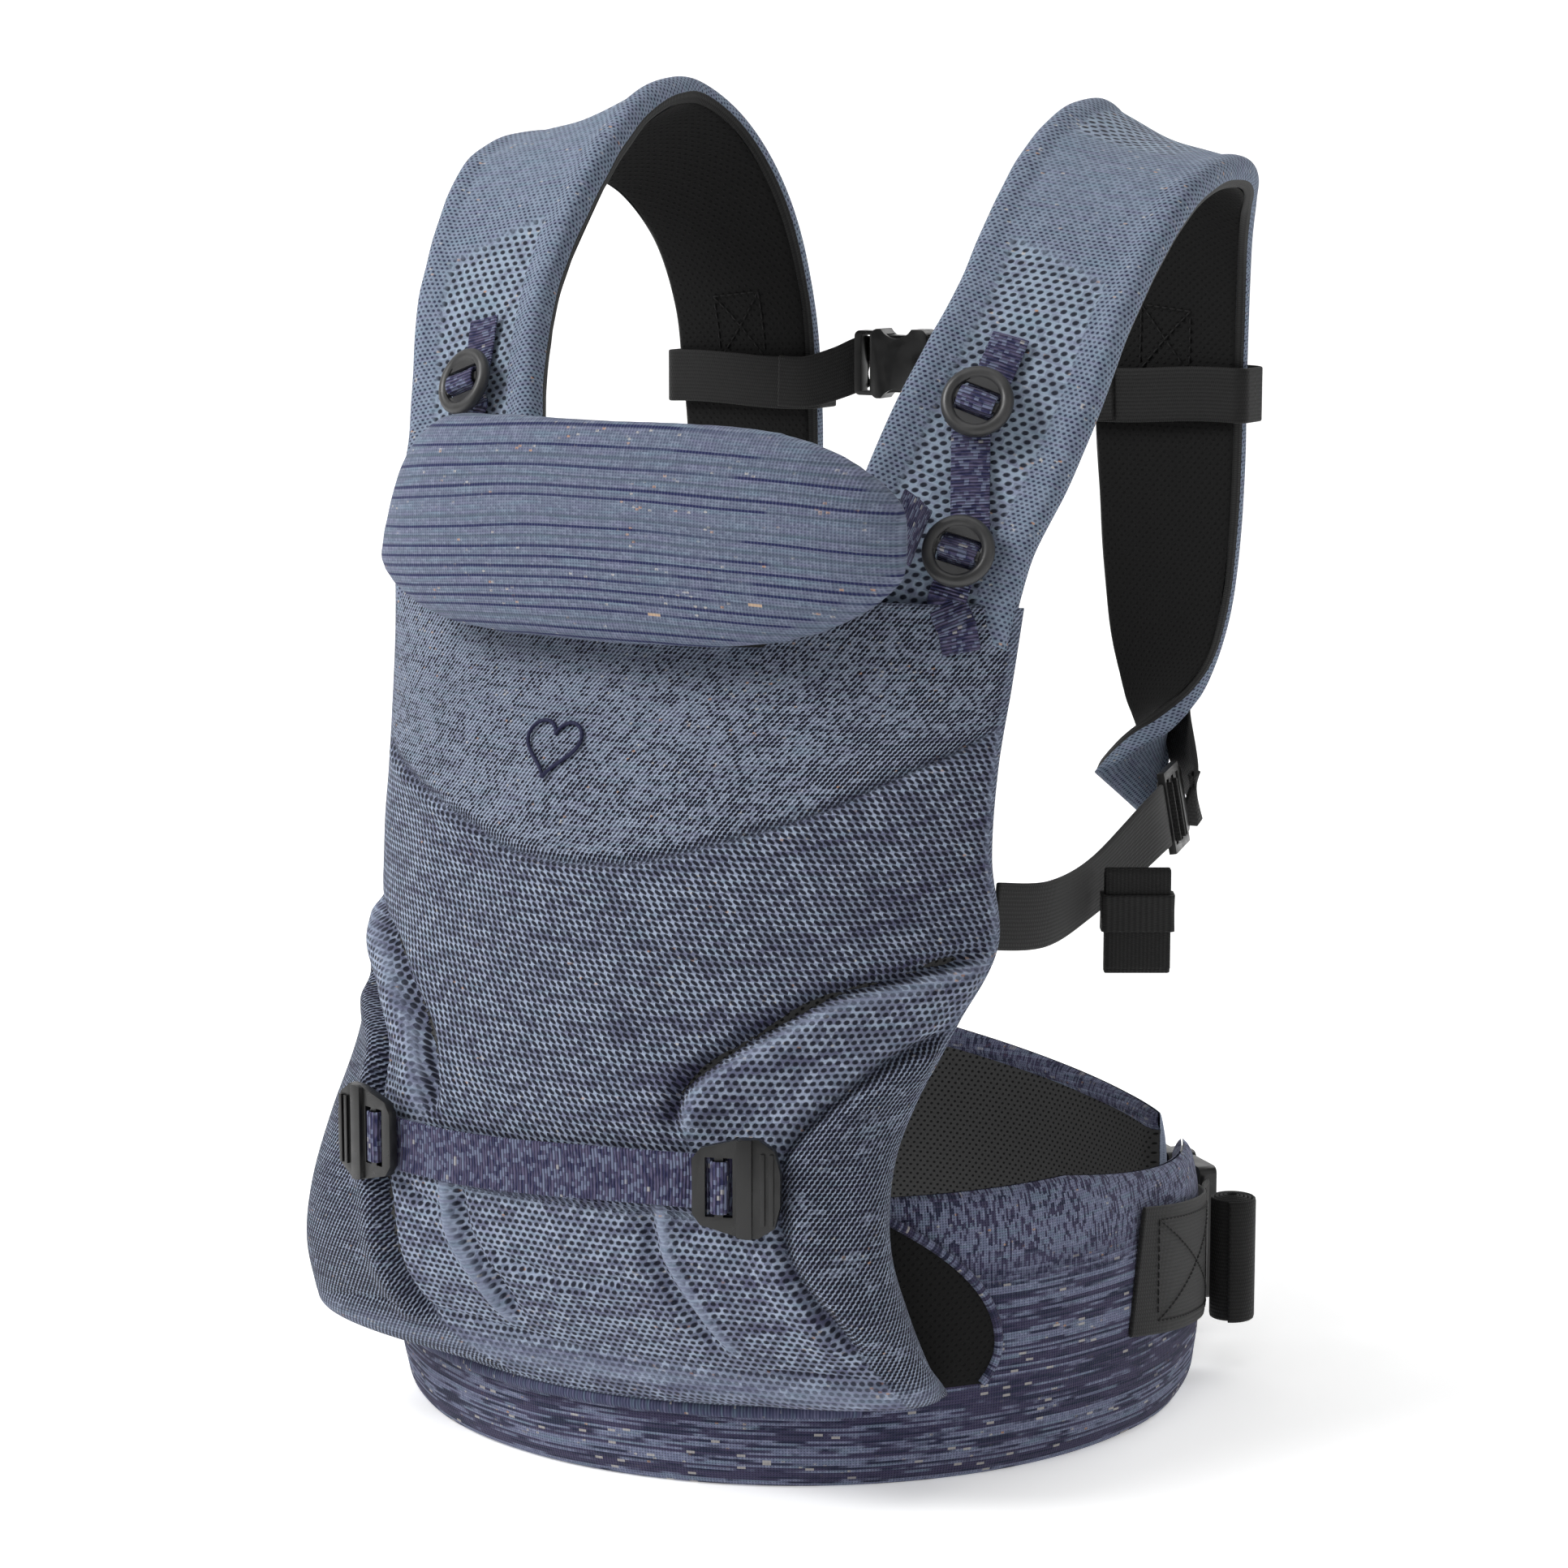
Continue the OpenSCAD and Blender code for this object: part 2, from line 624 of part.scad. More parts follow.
module strap_tail(s) {
    side(s) color(webbing_black)
        translate([tail_x, tail_y, 0]) rotate([90, 0, tail_deg])
            linear_extrude(height = small_webbing_w, center = true)
                difference() {
                    union() {
                        translate([0, (tail_top + tail_bottom) / 2])
                            square([2 * tail_half, tail_top - tail_bottom - 2 * tail_half], center = true);
                        for (z = [tail_bottom + tail_half, tail_top - tail_half])
                            translate([0, z]) circle(tail_half, $fn = round_fn);
                    }
                    translate([-0.4, tail_bottom + 8]) square([0.8, tail_top]);
                }
}
keeper_t = 1.2;
module tail_keeper(s) {
    side(s) color(webbing_black)
        translate([tail_x, tail_y, 0]) rotate([0, 0, tail_deg]) translate([0, 0, tail_top - 24])
            linear_extrude(height = 14) difference() {
                square([2 * tail_half + 0.4 + 2 * keeper_t, small_webbing_w + 0.4 + 2 * keeper_t], center = true);
                square([2 * tail_half + 0.4, small_webbing_w + 0.4], center = true);
            }
}

// ---- Side-release buckles ----

// Local frame: the prongs point along +x, the width is y, the thickness is z
function buckle_w(w) = w + 7;
function buckle_l(w) = 14 + w * 0.55;
function buckle_t(w) = 8 + w * 0.09;
function prong_y(w) = buckle_w(w) / 2 - 2.2 - clear - 1.8;
slot_gap = 4.2;
// Distance from the mouth to where the webbing enters each half's slot
function female_slot(w) = buckle_l(w) + 1.6 + slot_gap - 0.4;
male_slot = 21.5 - 0.4;
module buckle_female(w) {
    l = buckle_l(w);
    bw = buckle_w(w);
    t = buckle_t(w);
    color(plastic_grey) difference() {
        union() {
            translate([l / 2, 0, 0]) round_plate([l, bw], 3, t);
            translate([l + 2, 0, 0]) round_plate([14, bw - 2], 2.5, t * 0.6);
        }
        translate([-1, -(bw / 2 - 2.2), -(t / 2 - 1.6)]) cube([l - 1.5, bw - 4.4, t - 3.2]);
        for (y = [-1, 1])
            translate([l * 0.55, y * (bw / 2 + l * 0.18), 0]) cylinder(r = l * 0.33, h = 2 * t, center = true, $fn = round_fn);
        translate([l + 1.6, -w / 2 - 0.7, -t]) cube([slot_gap, w + 1.4, 2 * t]);
    }
}
module buckle_male(w) {
    bw = buckle_w(w);
    t = buckle_t(w);
    l = buckle_l(w);
    color(plastic_grey) {
        difference() {
            translate([-12.5, 0, 0]) round_plate([24, bw - 1], 3, t * 0.62);
            for (x = [-21.5, -12.5])
                translate([x, -w / 2 - 0.7, -t]) cube([slot_gap, w + 1.4, 2 * t]);
        }
        translate([-1, -2.6, -(t / 2 - 1.6 - clear)]) cube([l * 0.62, 5.2, t - 3.2 - 2 * clear]);
    }
}
// One sprung prong, hinged at its root beside the male body
module buckle_prong(w, y) {
    l = buckle_l(w);
    t = buckle_t(w) - 3.2 - 2 * clear;
    a = prong_y(w);
    color(plastic_grey) difference() {
        union() {
            translate([-0.1, y > 0 ? a - 1.8 : -a - 1.8, -t / 2]) cube([l - 6, 3.6, t]);
            translate([l - 7.4, y * (a - 1.2), 0]) cylinder(r = 3, h = t, center = true, $fn = round_fn);
        }
        translate([-5, -buckle_w(w), -t]) cube([5.3, 2 * buckle_w(w), 2 * t]);
    }
}

// ---- Chest strap ----

chest_z = 388;
chest_mouth = [-5, 119.2, 397];
chest_x = [-1, 0, 0];
chest_n = [0, 1, 0];
module at_chest() {
    place(chest_mouth, chest_x, chest_n) children();
}
// Webbing loop that goes round the back part of a shoulder strap
loop_mid = [98.5, 131, chest_z];
loop_in_w = 71;
loop_in_t = 19;
module chest_loop(s) {
    side(s) color(webbing_black) translate(loop_mid) difference() {
        round_plate([loop_in_w + 2 * webbing_t, loop_in_t + 2 * webbing_t], 4 + webbing_t, chest_webbing_w);
        round_plate([loop_in_w, loop_in_t], 4, 2 * chest_webbing_w);
    }
}
loop_edge = loop_mid[0] - loop_in_w / 2 - webbing_t;
loop_y = loop_mid[1] - loop_in_t / 2 - webbing_t / 2;
// Short webbing from a loop, lapped over the outer bar of a buckle half
chest_lap_y = chest_mouth[1] + 0.31 * buckle_t(chest_webbing_w) + webbing_t / 2 + 0.15;
module chest_webbing(slot, s) {
    near = [s * (loop_edge + 1), loop_y - webbing_t - 0.1, chest_z];
    lap = [chest_mouth[0] + s * slot, chest_lap_y, chest_mouth[2]];
    color(webbing_black) ribbon(
        [near, near - [s * 7, 0.1, -2], lap + [s * 12, -0.6, -1], lap + [s * 5, 0, 0], lap],
        [[0, 0, 1], [0, 0, 1]], chest_webbing_w - 1, webbing_t, 12
    );
}
module chest_webbing_left() {
    chest_webbing(female_slot(chest_webbing_w), -1);
}
module chest_webbing_right() {
    chest_webbing(male_slot, 1);
}

// ---- Waist closure ----

waist_buckle_deg = 50;
waist_buckle_z = 44;
waist_buckle_r = belt_r + 9.5;
// Buckle frame on the belt: prongs point round the ring towards the back
module at_waist() {
    place(
        [waist_buckle_r * cos(waist_buckle_deg), waist_buckle_r * sin(waist_buckle_deg), waist_buckle_z],
        [-sin(waist_buckle_deg), cos(waist_buckle_deg), 0],
        [cos(waist_buckle_deg), sin(waist_buckle_deg), 0]
    ) children();
}
patch_t = 1.6;
// Webbing on the outside of the belt, sewn down by a box stitch; it falls by drop over its run
module belt_webbing(a1, a2, z1, drop, rows) {
    function p(i, r, v) = let (a = mix(a1, a2, i / rows), z = z1 - drop * i / rows)
        [r * cos(a), r * sin(a), z + v * waist_webbing_w / 2];
    slab(
        [for (i = [0 : rows]) [for (v = [-1, 0, 1]) p(i, belt_r + 0.3 + patch_t, v)]],
        [for (i = [0 : rows]) [for (v = [-1, 0, 1]) p(i, belt_r + 0.3, v)]]
    );
}
patch_front_end = belt_end_front + 5;
patch_back_start = 74;
module waist_patch_front() {
    color(webbing_black) belt_webbing(-8, patch_front_end, 66, 20, 12);
}
module waist_patch_back() {
    color(webbing_black) belt_webbing(patch_back_start, 112, 45, -6, 12);
}
// Point beside the belt: angle round it, distance outside it and height
function by_belt(a, out, z) = [(belt_r + out) * cos(a), (belt_r + out) * sin(a), z];
module waist_webbing_front() {
    color(webbing_black) ribbon(
        [by_belt(patch_front_end - 3, 3, 47), by_belt(patch_front_end + 1, 4, 46), by_belt(40, 9, waist_buckle_z)],
        [[0, 0, 1], [0, 0, 1]], waist_webbing_w - 1, webbing_t, 6
    );
}
module waist_webbing_back() {
    color(webbing_black) ribbon(
        [by_belt(68.5, 15.5, waist_buckle_z), by_belt(71, 10, waist_buckle_z + 1), by_belt(patch_back_start + 3, 3, 46)],
        [[0, 0, 1], [0, 0, 1]], waist_webbing_w - 1, webbing_t, 6
    );
}
roll_r = 10;
roll_deg = 29;
roll_o = by_belt(roll_deg, 3.4 + roll_r, waist_buckle_z + 1);
module waist_webbing_roll() {
    color(webbing_black) translate(roll_o) difference() {
        cylinder(r = roll_r, h = waist_webbing_w, center = true, $fn = round_fn);
        cylinder(r = 1.6, h = 2 * waist_webbing_w, center = true, $fn = round_fn);
    }
}
// ---- What is drawn ----

// Brings the middle of the footprint to the origin
stand_y = 13.6;
module stand() {
    translate([0, stand_y, 0]) children();
}

stand() front_panel();
stand() panel_lining();
stand() seat_hem();
stand() emblem();
stand() waist_belt_cover();
stand() waist_belt_foam();
stand() waist_belt_lining();
stand() leg_gusset(-1);  // leg_gusset_left
stand() leg_gusset(1);  // leg_gusset_right
stand() strap_cover(-1);  // strap_cover_left
stand() strap_cover(1);  // strap_cover_right
stand() strap_foam(-1);  // strap_foam_left
stand() strap_foam(1);  // strap_foam_right
stand() strap_lining(-1);  // strap_lining_left
stand() strap_lining(1);  // strap_lining_right
stand() button_band(-1);  // button_band_left
stand() button_band(1);  // button_band_right
stand() ring_button(0, -1);  // ring_button_upper_left
stand() ring_button(0, 1);  // ring_button_upper_right
stand() ring_button(1, -1);  // ring_button_lower_left
stand() ring_button(1, 1);  // ring_button_lower_right
stand() headrest_cover();
stand() headrest_foam();
stand() headrest_tab(-1);  // headrest_tab_left
stand() headrest_tab(1);  // headrest_tab_right
stand() seat_band();
stand() seat_slider(-1);  // seat_slider_left
stand() seat_slider(1);  // seat_slider_right
stand() slider_wrap(-1);  // slider_wrap_left
stand() slider_wrap(1);  // slider_wrap_right
stand() underarm_webbing(-1);  // underarm_webbing_left
stand() underarm_webbing(1);  // underarm_webbing_right
stand() strap_tail(-1);  // strap_tail_left
stand() strap_tail(1);  // strap_tail_right
stand() tail_keeper(-1);  // tail_keeper_left
stand() tail_keeper(1);  // tail_keeper_right
stand() lock_loop(-1);  // lock_loop_left
stand() lock_loop(1);  // lock_loop_right
stand() ladder_lock(-1);  // ladder_lock_left
stand() ladder_lock(1);  // ladder_lock_right
stand() lock_wrap(-1);  // lock_wrap_left
stand() lock_wrap(1);  // lock_wrap_right
stand() chest_loop(-1);  // chest_loop_left
stand() chest_loop(1);  // chest_loop_right
stand() chest_webbing_left();
stand() chest_webbing_right();
stand() at_chest() buckle_female(chest_webbing_w);  // chest_buckle_female
stand() at_chest() buckle_male(chest_webbing_w);  // chest_buckle_male
stand() at_chest() buckle_prong(chest_webbing_w, 1);  // chest_prong_upper
stand() at_chest() buckle_prong(chest_webbing_w, -1);  // chest_prong_lower
stand() waist_patch_front();
stand() waist_patch_back();
stand() waist_webbing_front();
stand() waist_webbing_back();
stand() waist_webbing_roll();
stand() at_waist() buckle_female(waist_webbing_w);  // waist_buckle_female
stand() at_waist() buckle_male(waist_webbing_w);  // waist_buckle_male
stand() at_waist() buckle_prong(waist_webbing_w, 1);  // waist_prong_upper
stand() at_waist() buckle_prong(waist_webbing_w, -1);  // waist_prong_lower
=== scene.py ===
"""A soft baby carrier, stood up on its closed waist belt: its knit, mesh, webbing and buckles.

Every shape is worked out in millimetres from the same keys as the CAD part, and goes to metres once,
in Piece.build(). +X is the viewer's right, -Y is the front and +Z is up.
"""

import math

import bmesh
import bpy
import numpy as np
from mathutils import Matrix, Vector


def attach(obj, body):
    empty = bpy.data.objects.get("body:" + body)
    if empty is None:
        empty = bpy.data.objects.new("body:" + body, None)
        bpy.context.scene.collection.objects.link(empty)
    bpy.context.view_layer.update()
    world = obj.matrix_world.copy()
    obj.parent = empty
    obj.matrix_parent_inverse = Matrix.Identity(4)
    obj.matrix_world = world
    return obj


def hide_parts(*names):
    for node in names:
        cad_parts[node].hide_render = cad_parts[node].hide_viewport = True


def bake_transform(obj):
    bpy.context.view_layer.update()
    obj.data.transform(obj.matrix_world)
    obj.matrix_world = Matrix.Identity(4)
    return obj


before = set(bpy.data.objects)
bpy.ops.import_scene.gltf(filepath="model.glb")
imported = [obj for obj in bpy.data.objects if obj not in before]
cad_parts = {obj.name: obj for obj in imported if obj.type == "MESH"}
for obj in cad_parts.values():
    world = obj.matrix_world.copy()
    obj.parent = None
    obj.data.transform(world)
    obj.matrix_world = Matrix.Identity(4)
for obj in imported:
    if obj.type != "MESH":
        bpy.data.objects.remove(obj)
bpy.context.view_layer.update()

MM = 0.001
STAND_Y = 13.6  # how far the CAD part stands behind the axis its keys are drawn about
SIDES = {"left": -1, "right": 1}
UP = np.array([0.0, 0.0, 1.0])


# ---- Curves and vectors ----


def along(keys, s):
    """Smooth curve through a list of keys, s from 0 to 1."""
    keys = np.asarray(keys, float)
    last = len(keys) - 1
    x = np.clip(np.asarray(s, float), 0, 1) * last
    i = np.minimum(np.floor(x).astype(int), last - 1)
    t = (x - i)[..., None]
    a, b = keys[np.maximum(i - 1, 0)], keys[i]
    c, d = keys[i + 1], keys[np.minimum(i + 2, last)]
    return 0.5 * (2 * b + (c - a) * t + (2 * a - 5 * b + 4 * c - d) * t**2 + (3 * b - a - 3 * c + d) * t**3)


def unit(v):
    return v / np.maximum(np.linalg.norm(v, axis=-1, keepdims=True), 1e-9)


def dot(a, b):
    return (a * b).sum(-1, keepdims=True)


def smooth(x, low, high):
    """0 before low, 1 after high, and an even curve between them."""
    t = np.clip((x - low) / (high - low), 0, 1)
    return t * t * (3 - 2 * t)


def hill(x, width):
    return np.exp(-((x / width) ** 2))


def lengths(points):
    """Distance along a line of points, from its first."""
    step = np.linalg.norm(np.diff(points, axis=0), axis=-1)
    return np.concatenate([[0], np.cumsum(step)])


def respace(points, pitch, smoothing=True):
    """The same line with evenly spaced points, rounded through its corners."""
    points = np.asarray(points, float)
    fine = along(points, np.linspace(0, 1, 24 * len(points))) if smoothing else points
    run = lengths(fine)
    at = np.linspace(0, run[-1], max(int(run[-1] / pitch), 2) + 1)
    return np.stack([np.interp(at, run, fine[:, k]) for k in range(fine.shape[1])], -1)


def ripple(p, size, seed):
    """Gentle unevenness of about one, from a few crossed waves of about that size."""
    pick = np.random.default_rng(seed)
    total = np.zeros(p.shape[:-1])
    for k in range(6):
        way = unit(pick.normal(size=3))
        total += np.sin((p @ way) * 2 * np.pi / (size * pick.uniform(0.7, 1.6)) + pick.uniform(0, 6))
    return total / 2.4


# ---- Meshes ----


class Piece:
    """Collects grids of points into one mesh, with true-size UVs, material numbers and named weights."""

    def __init__(self, name):
        self.name, self.count = name, 0
        self.points, self.faces, self.uvs, self.numbers, self.weights = [], [], [], [], []

    def grid(self, points, uv=None, number=0, flip=False, **weights):
        """Adds a grid of points, rows by columns. uv is in millimetres of cloth."""
        points = np.asarray(points, float)
        rows, cols = points.shape[:2]
        if uv is None:
            across = np.linalg.norm(np.diff(points, axis=1), axis=-1).cumsum(1).max(0)
            down = np.linalg.norm(np.diff(points, axis=0), axis=-1).cumsum(0).max(1)
            uv = np.stack(np.meshgrid(np.append(0, across), np.append(0, down)), -1)
        i, j = np.meshgrid(np.arange(rows - 1), np.arange(cols - 1), indexing="ij")
        a = (i * cols + j + self.count).ravel()
        quads = np.stack([a, a + 1, a + cols + 1, a + cols], -1)
        self.faces.append(quads[:, ::-1] if flip else quads)
        self.points.append(points.reshape(-1, 3))
        self.uvs.append(np.asarray(uv, float).reshape(-1, 2))
        self.numbers.append(np.full(len(quads), number))
        self.weights.append({k: np.broadcast_to(w, (rows, cols)).ravel() for k, w in weights.items()})
        self.count += rows * cols
        return self

    def build(self, materials, weld=0.02):
        mesh = bpy.data.meshes.new(self.name)
        points = (np.concatenate(self.points) + [0, STAND_Y, 0]) * MM
        faces = np.concatenate(self.faces)
        mesh.from_pydata(points.tolist(), [], faces.tolist())
        layer = mesh.uv_layers.new(name="Cloth")
        uvs = (np.concatenate(self.uvs) * MM)[faces.ravel()]
        layer.data.foreach_set("uv", uvs.ravel().astype(np.float32))
        for name in sorted({k for w in self.weights for k in w}):
            values = [w.get(name, np.zeros(len(p))) for w, p in zip(self.weights, self.points)]
            mesh.attributes.new(name, "FLOAT", "POINT").data.foreach_set(
                "value", np.concatenate(values).astype(np.float32)
            )
        for material in materials:
            mesh.materials.append(material)
        mesh.polygons.foreach_set("material_index", np.concatenate(self.numbers).astype(np.int32))
        work = bmesh.new()
        work.from_mesh(mesh)
        bmesh.ops.remove_doubles(work, verts=work.verts, dist=weld * MM)
        bmesh.ops.dissolve_degenerate(work, edges=work.edges, dist=1e-7)
        for face in work.faces:
            face.smooth = True
        work.to_mesh(mesh)
        work.free()
        thing = bpy.data.objects.new(self.name, mesh)
        bpy.context.scene.collection.objects.link(thing)
        return thing


def tube_rows(sections):
    """Closes each section's loop of points, ready for Piece.grid."""
    sections = np.asarray(sections, float)
    return np.concatenate([sections, sections[:, :1]], axis=1)


def strip_frame(centres, widths):
    """Directions across, along and out of a strip, from its centre line and width directions."""
    run = unit(np.gradient(centres, axis=0))
    across = unit(widths - run * dot(widths, run))
    return across, run, np.cross(across, run)


def ribbon(piece, centres, widths, width, thick, number=0, ends=True, crown=0.0):
    """A flat strap of webbing with rounded edges. crown lifts its middle."""
    across, _, face = strip_frame(centres, widths)
    edge = thick * 0.5
    v = np.array([-1, -0.985, -0.94, -0.6, -0.2, 0.2, 0.6, 0.94, 0.985, 1]) * width / 2
    h = np.array([0, 0.7, 1, 1, 1, 1, 1, 1, 0.7, 0]) * edge
    lift = crown * (1 - (v / (width / 2)) ** 2)
    top = centres[:, None] + across[:, None] * v[None, :, None] + face[:, None] * (h + lift)[None, :, None]
    low = centres[:, None] + across[:, None] * v[None, :, None] + face[:, None] * (lift - h)[None, :, None]
    run_mm = lengths(centres)
    uv = np.stack(np.meshgrid(v + width / 2, run_mm), -1)
    piece.grid(top, uv, number, flip=True)
    piece.grid(low, uv, number)
    if ends:
        for k, flip in ((0, False), (-1, True)):
            cap = np.stack([top[k], low[k]])
            piece.grid(cap, np.stack([uv[k], uv[k] + [0, thick]]), number, flip=flip)
    return piece


def in_plane(origin, line, x, y):
    """A flat line's points, placed on the plane through origin along x and y."""
    return origin + line[:, :1] * x + line[:, 1:] * y


def loft(piece, loops, number=0, flip=False):
    """Skin over a list of loops that have the same number of points."""
    return piece.grid(tube_rows(loops), None, number, flip=flip)


def round_box_loop(width, height, corner, count=48):
    """Outline of a rectangle with round corners, as count points about the origin."""
    turn = np.linspace(0, 2 * np.pi, count, endpoint=False)
    corner = min(corner, width / 2, height / 2)
    x, y = np.cos(turn), np.sin(turn)
    inner = np.sign(np.stack([x, y], -1).round(9)) * [width / 2 - corner, height / 2 - corner]
    return inner + np.stack([x, y], -1) * corner


def replace(piece, body, slot, *nodes):
    """The piece rides on that body and stands for those CAD nodes; slot is not used."""
    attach(piece, body)
    if nodes:
        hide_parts(*nodes)
    return piece


# ---- Materials: patterns written as arithmetic on the cloth's own millimetres ----


def linear(*rgb):
    """A colour given as 0 to 255 values, as the light that it stands for."""
    c = np.array(rgb) / 255
    return (*np.where(c <= 0.04045, c / 12.92, ((c + 0.055) / 1.055) ** 2.4), 1.0)


def grey_light(value):
    return linear(value, value, value)


class Number:
    """A number that varies over the surface, written with ordinary arithmetic."""

    def __init__(self, cloth, socket):
        self.cloth, self.socket = cloth, socket


def arithmetic(operation, swapped):
    """A method that adds one step of arithmetic to the material."""

    def method(self, other):
        values = (other, self) if swapped else (self, other)
        return self.cloth.math(operation, *values)

    return method


for word, operation in (("add", "ADD"), ("sub", "SUBTRACT"), ("mul", "MULTIPLY"), ("truediv", "DIVIDE")):
    setattr(Number, f"__{word}__", arithmetic(operation, False))
    setattr(Number, f"__r{word}__", arithmetic(operation, True))


class Cloth:
    """One procedural material, built node by node."""

    def __init__(self, name, roughness=0.9, sheen=0.0, specular=0.2, sheen_tint=(1, 1, 1, 1)):
        self.material = bpy.data.materials.new(name)
        self.material.use_nodes = True
        self.tree = self.material.node_tree
        self.tree.nodes.clear()
        self.shader = self.node("ShaderNodeBsdfPrincipled")
        self.shader.inputs["Roughness"].default_value = roughness
        self.shader.inputs["Specular IOR Level"].default_value = specular
        self.shader.inputs["Sheen Weight"].default_value = sheen
        self.shader.inputs["Sheen Roughness"].default_value = 0.5
        self.shader.inputs["Sheen Tint"].default_value = sheen_tint
        out = self.node("ShaderNodeOutputMaterial")
        self.tree.links.new(self.shader.outputs[0], out.inputs[0])

    def node(self, kind, **settings):
        made = self.tree.nodes.new(kind)
        for key, value in settings.items():
            setattr(made, key, value)
        return made

    def feed(self, socket, value):
        if isinstance(value, Number):
            value = value.socket
        if isinstance(value, bpy.types.NodeSocket):
            self.tree.links.new(value, socket)
        else:
            socket.default_value = value

    def math(self, operation, *values):
        made = self.node("ShaderNodeMath", operation=operation)
        for socket, value in zip(made.inputs, values):
            self.feed(socket, value)
        return Number(self, made.outputs[0])

    def ramp(self, x, low, high, start=0.0, end=1.0):
        """Goes smoothly from start, at low, to end, at high."""
        made = self.node("ShaderNodeMapRange", interpolation_type="SMOOTHSTEP")
        names = ("Value", "From Min", "From Max", "To Min", "To Max")
        for key, value in zip(names, (x, low, high, start, end)):
            self.feed(made.inputs[key], value)
        return Number(self, made.outputs[0])

    def floor(self, x):
        return self.math("FLOOR", x)

    def wave(self, x, pitch=1.0):
        """An even wave from 0 to 1, one to each pitch."""
        return self.math("SINE", x * (2 * math.pi / pitch)) * 0.5 + 0.5

    def cloth_mm(self):
        """The cloth's own x and y, in millimetres."""
        split = self.node("ShaderNodeSeparateXYZ")
        self.feed(split.inputs[0], self.node("ShaderNodeUVMap", uv_map="Cloth").outputs[0])
        return Number(self, split.outputs[0]) * 1000, Number(self, split.outputs[1]) * 1000

    def place_mm(self):
        """Where a point is on the object, in millimetres."""
        split = self.node("ShaderNodeSeparateXYZ")
        self.feed(split.inputs[0], self.node("ShaderNodeTexCoord").outputs["Object"])
        return [Number(self, split.outputs[k]) * 1000 for k in range(3)]

    def weight(self, name):
        return Number(self, self.node("ShaderNodeAttribute", attribute_name=name).outputs["Fac"])

    def join(self, x, y, z=0.0):
        made = self.node("ShaderNodeCombineXYZ")
        for socket, value in zip(made.inputs, (x, y, z)):
            self.feed(socket, value)
        return made.outputs[0]

    def noise(self, x, y, z=0.0, detail=2.0):
        """Soft noise, one feature to a unit, from about 0 to 1."""
        made = self.node("ShaderNodeTexNoise")
        self.feed(made.inputs["Vector"], self.join(x, y, z))
        made.inputs["Scale"].default_value = 1.0
        made.inputs["Detail"].default_value = detail
        return Number(self, made.outputs[0])

    def chance(self, x, y, seed=0.0):
        """One random number from 0 to 1 for each whole x and y."""
        made = self.node("ShaderNodeTexWhiteNoise", noise_dimensions="3D")
        self.feed(made.inputs["Vector"], self.join(x, y, seed))
        return Number(self, made.outputs["Value"])

    def mix(self, share, a, b):
        made = self.node("ShaderNodeMix", data_type="RGBA", clamp_factor=True)
        self.feed(made.inputs[0], share)
        self.feed(made.inputs[6], a)
        self.feed(made.inputs[7], b)
        return made.outputs[2]

    def cells(self, x, y, pitch, row, length, width, turn=0.0, seed=0.0, soft=0.5):
        """Staggered rows of small openings: how far inside one a point is, and its cell's random number."""
        level = self.floor(y / row)
        shifted = x / pitch + self.math("MODULO", level, 2.0) * 0.5
        column = self.floor(shifted)
        u = (shifted - column - 0.5) * pitch
        v = (y / row - level - 0.5) * row
        c, s = math.cos(turn), math.sin(turn)
        p = (u * c + v * s) * (2 / length)
        q = (v * c - u * s) * (2 / width)
        opening = self.ramp(p * p + q * q, 1 - soft, 1 + soft, 1.0, 0.0)
        return opening, self.chance(column, level, seed)

    def finish(self, colour, height=None, depth=0.5, strength=1.0):
        """Sets the colour, and a bump whose height of 1 is depth millimetres."""
        self.feed(self.shader.inputs["Base Color"], colour)
        if height is not None:
            bump = self.node("ShaderNodeBump")
            bump.inputs["Strength"].default_value = strength
            bump.inputs["Distance"].default_value = depth * MM
            self.feed(bump.inputs["Height"], height)
            self.tree.links.new(bump.outputs[0], self.shader.inputs["Normal"])
        return self.material


LIGHT = linear(140, 150, 171)
TEAL = linear(108, 128, 144)
LILAC = linear(112, 113, 140)
NAVY = linear(24, 27, 54)
DEEP = linear(12, 14, 30)
PLUM = linear(56, 50, 78)
CREAM = linear(176, 172, 168)
RUST = linear(166, 134, 116)
MESH_DARK = grey_light(12)


def yarn(c, x, y, light, seed=0.0):
    """The light yarn: it drifts to teal and lilac along its rows, with groups of cream and rust flecks."""
    drift = c.noise(x * 0.06, y * 0.5, seed, 3.0)
    base = c.mix(c.ramp(drift, 0.48, 0.7) * 0.6, light, TEAL)
    base = c.mix(c.ramp(drift, 0.5, 0.34) * 0.5, base, LILAC)
    fleck = c.chance(c.floor(x / 1.3), c.floor(y / 0.8), seed + 5)
    group = c.ramp(c.noise(x * 0.03, y * 0.12, seed + 3, 1.0), 0.5, 0.6)
    base = c.mix(c.ramp(fleck, 0.972, 0.974) * group * 0.75, base, CREAM)
    return c.mix(c.ramp(fleck, 0.992, 0.994) * group, base, RUST)


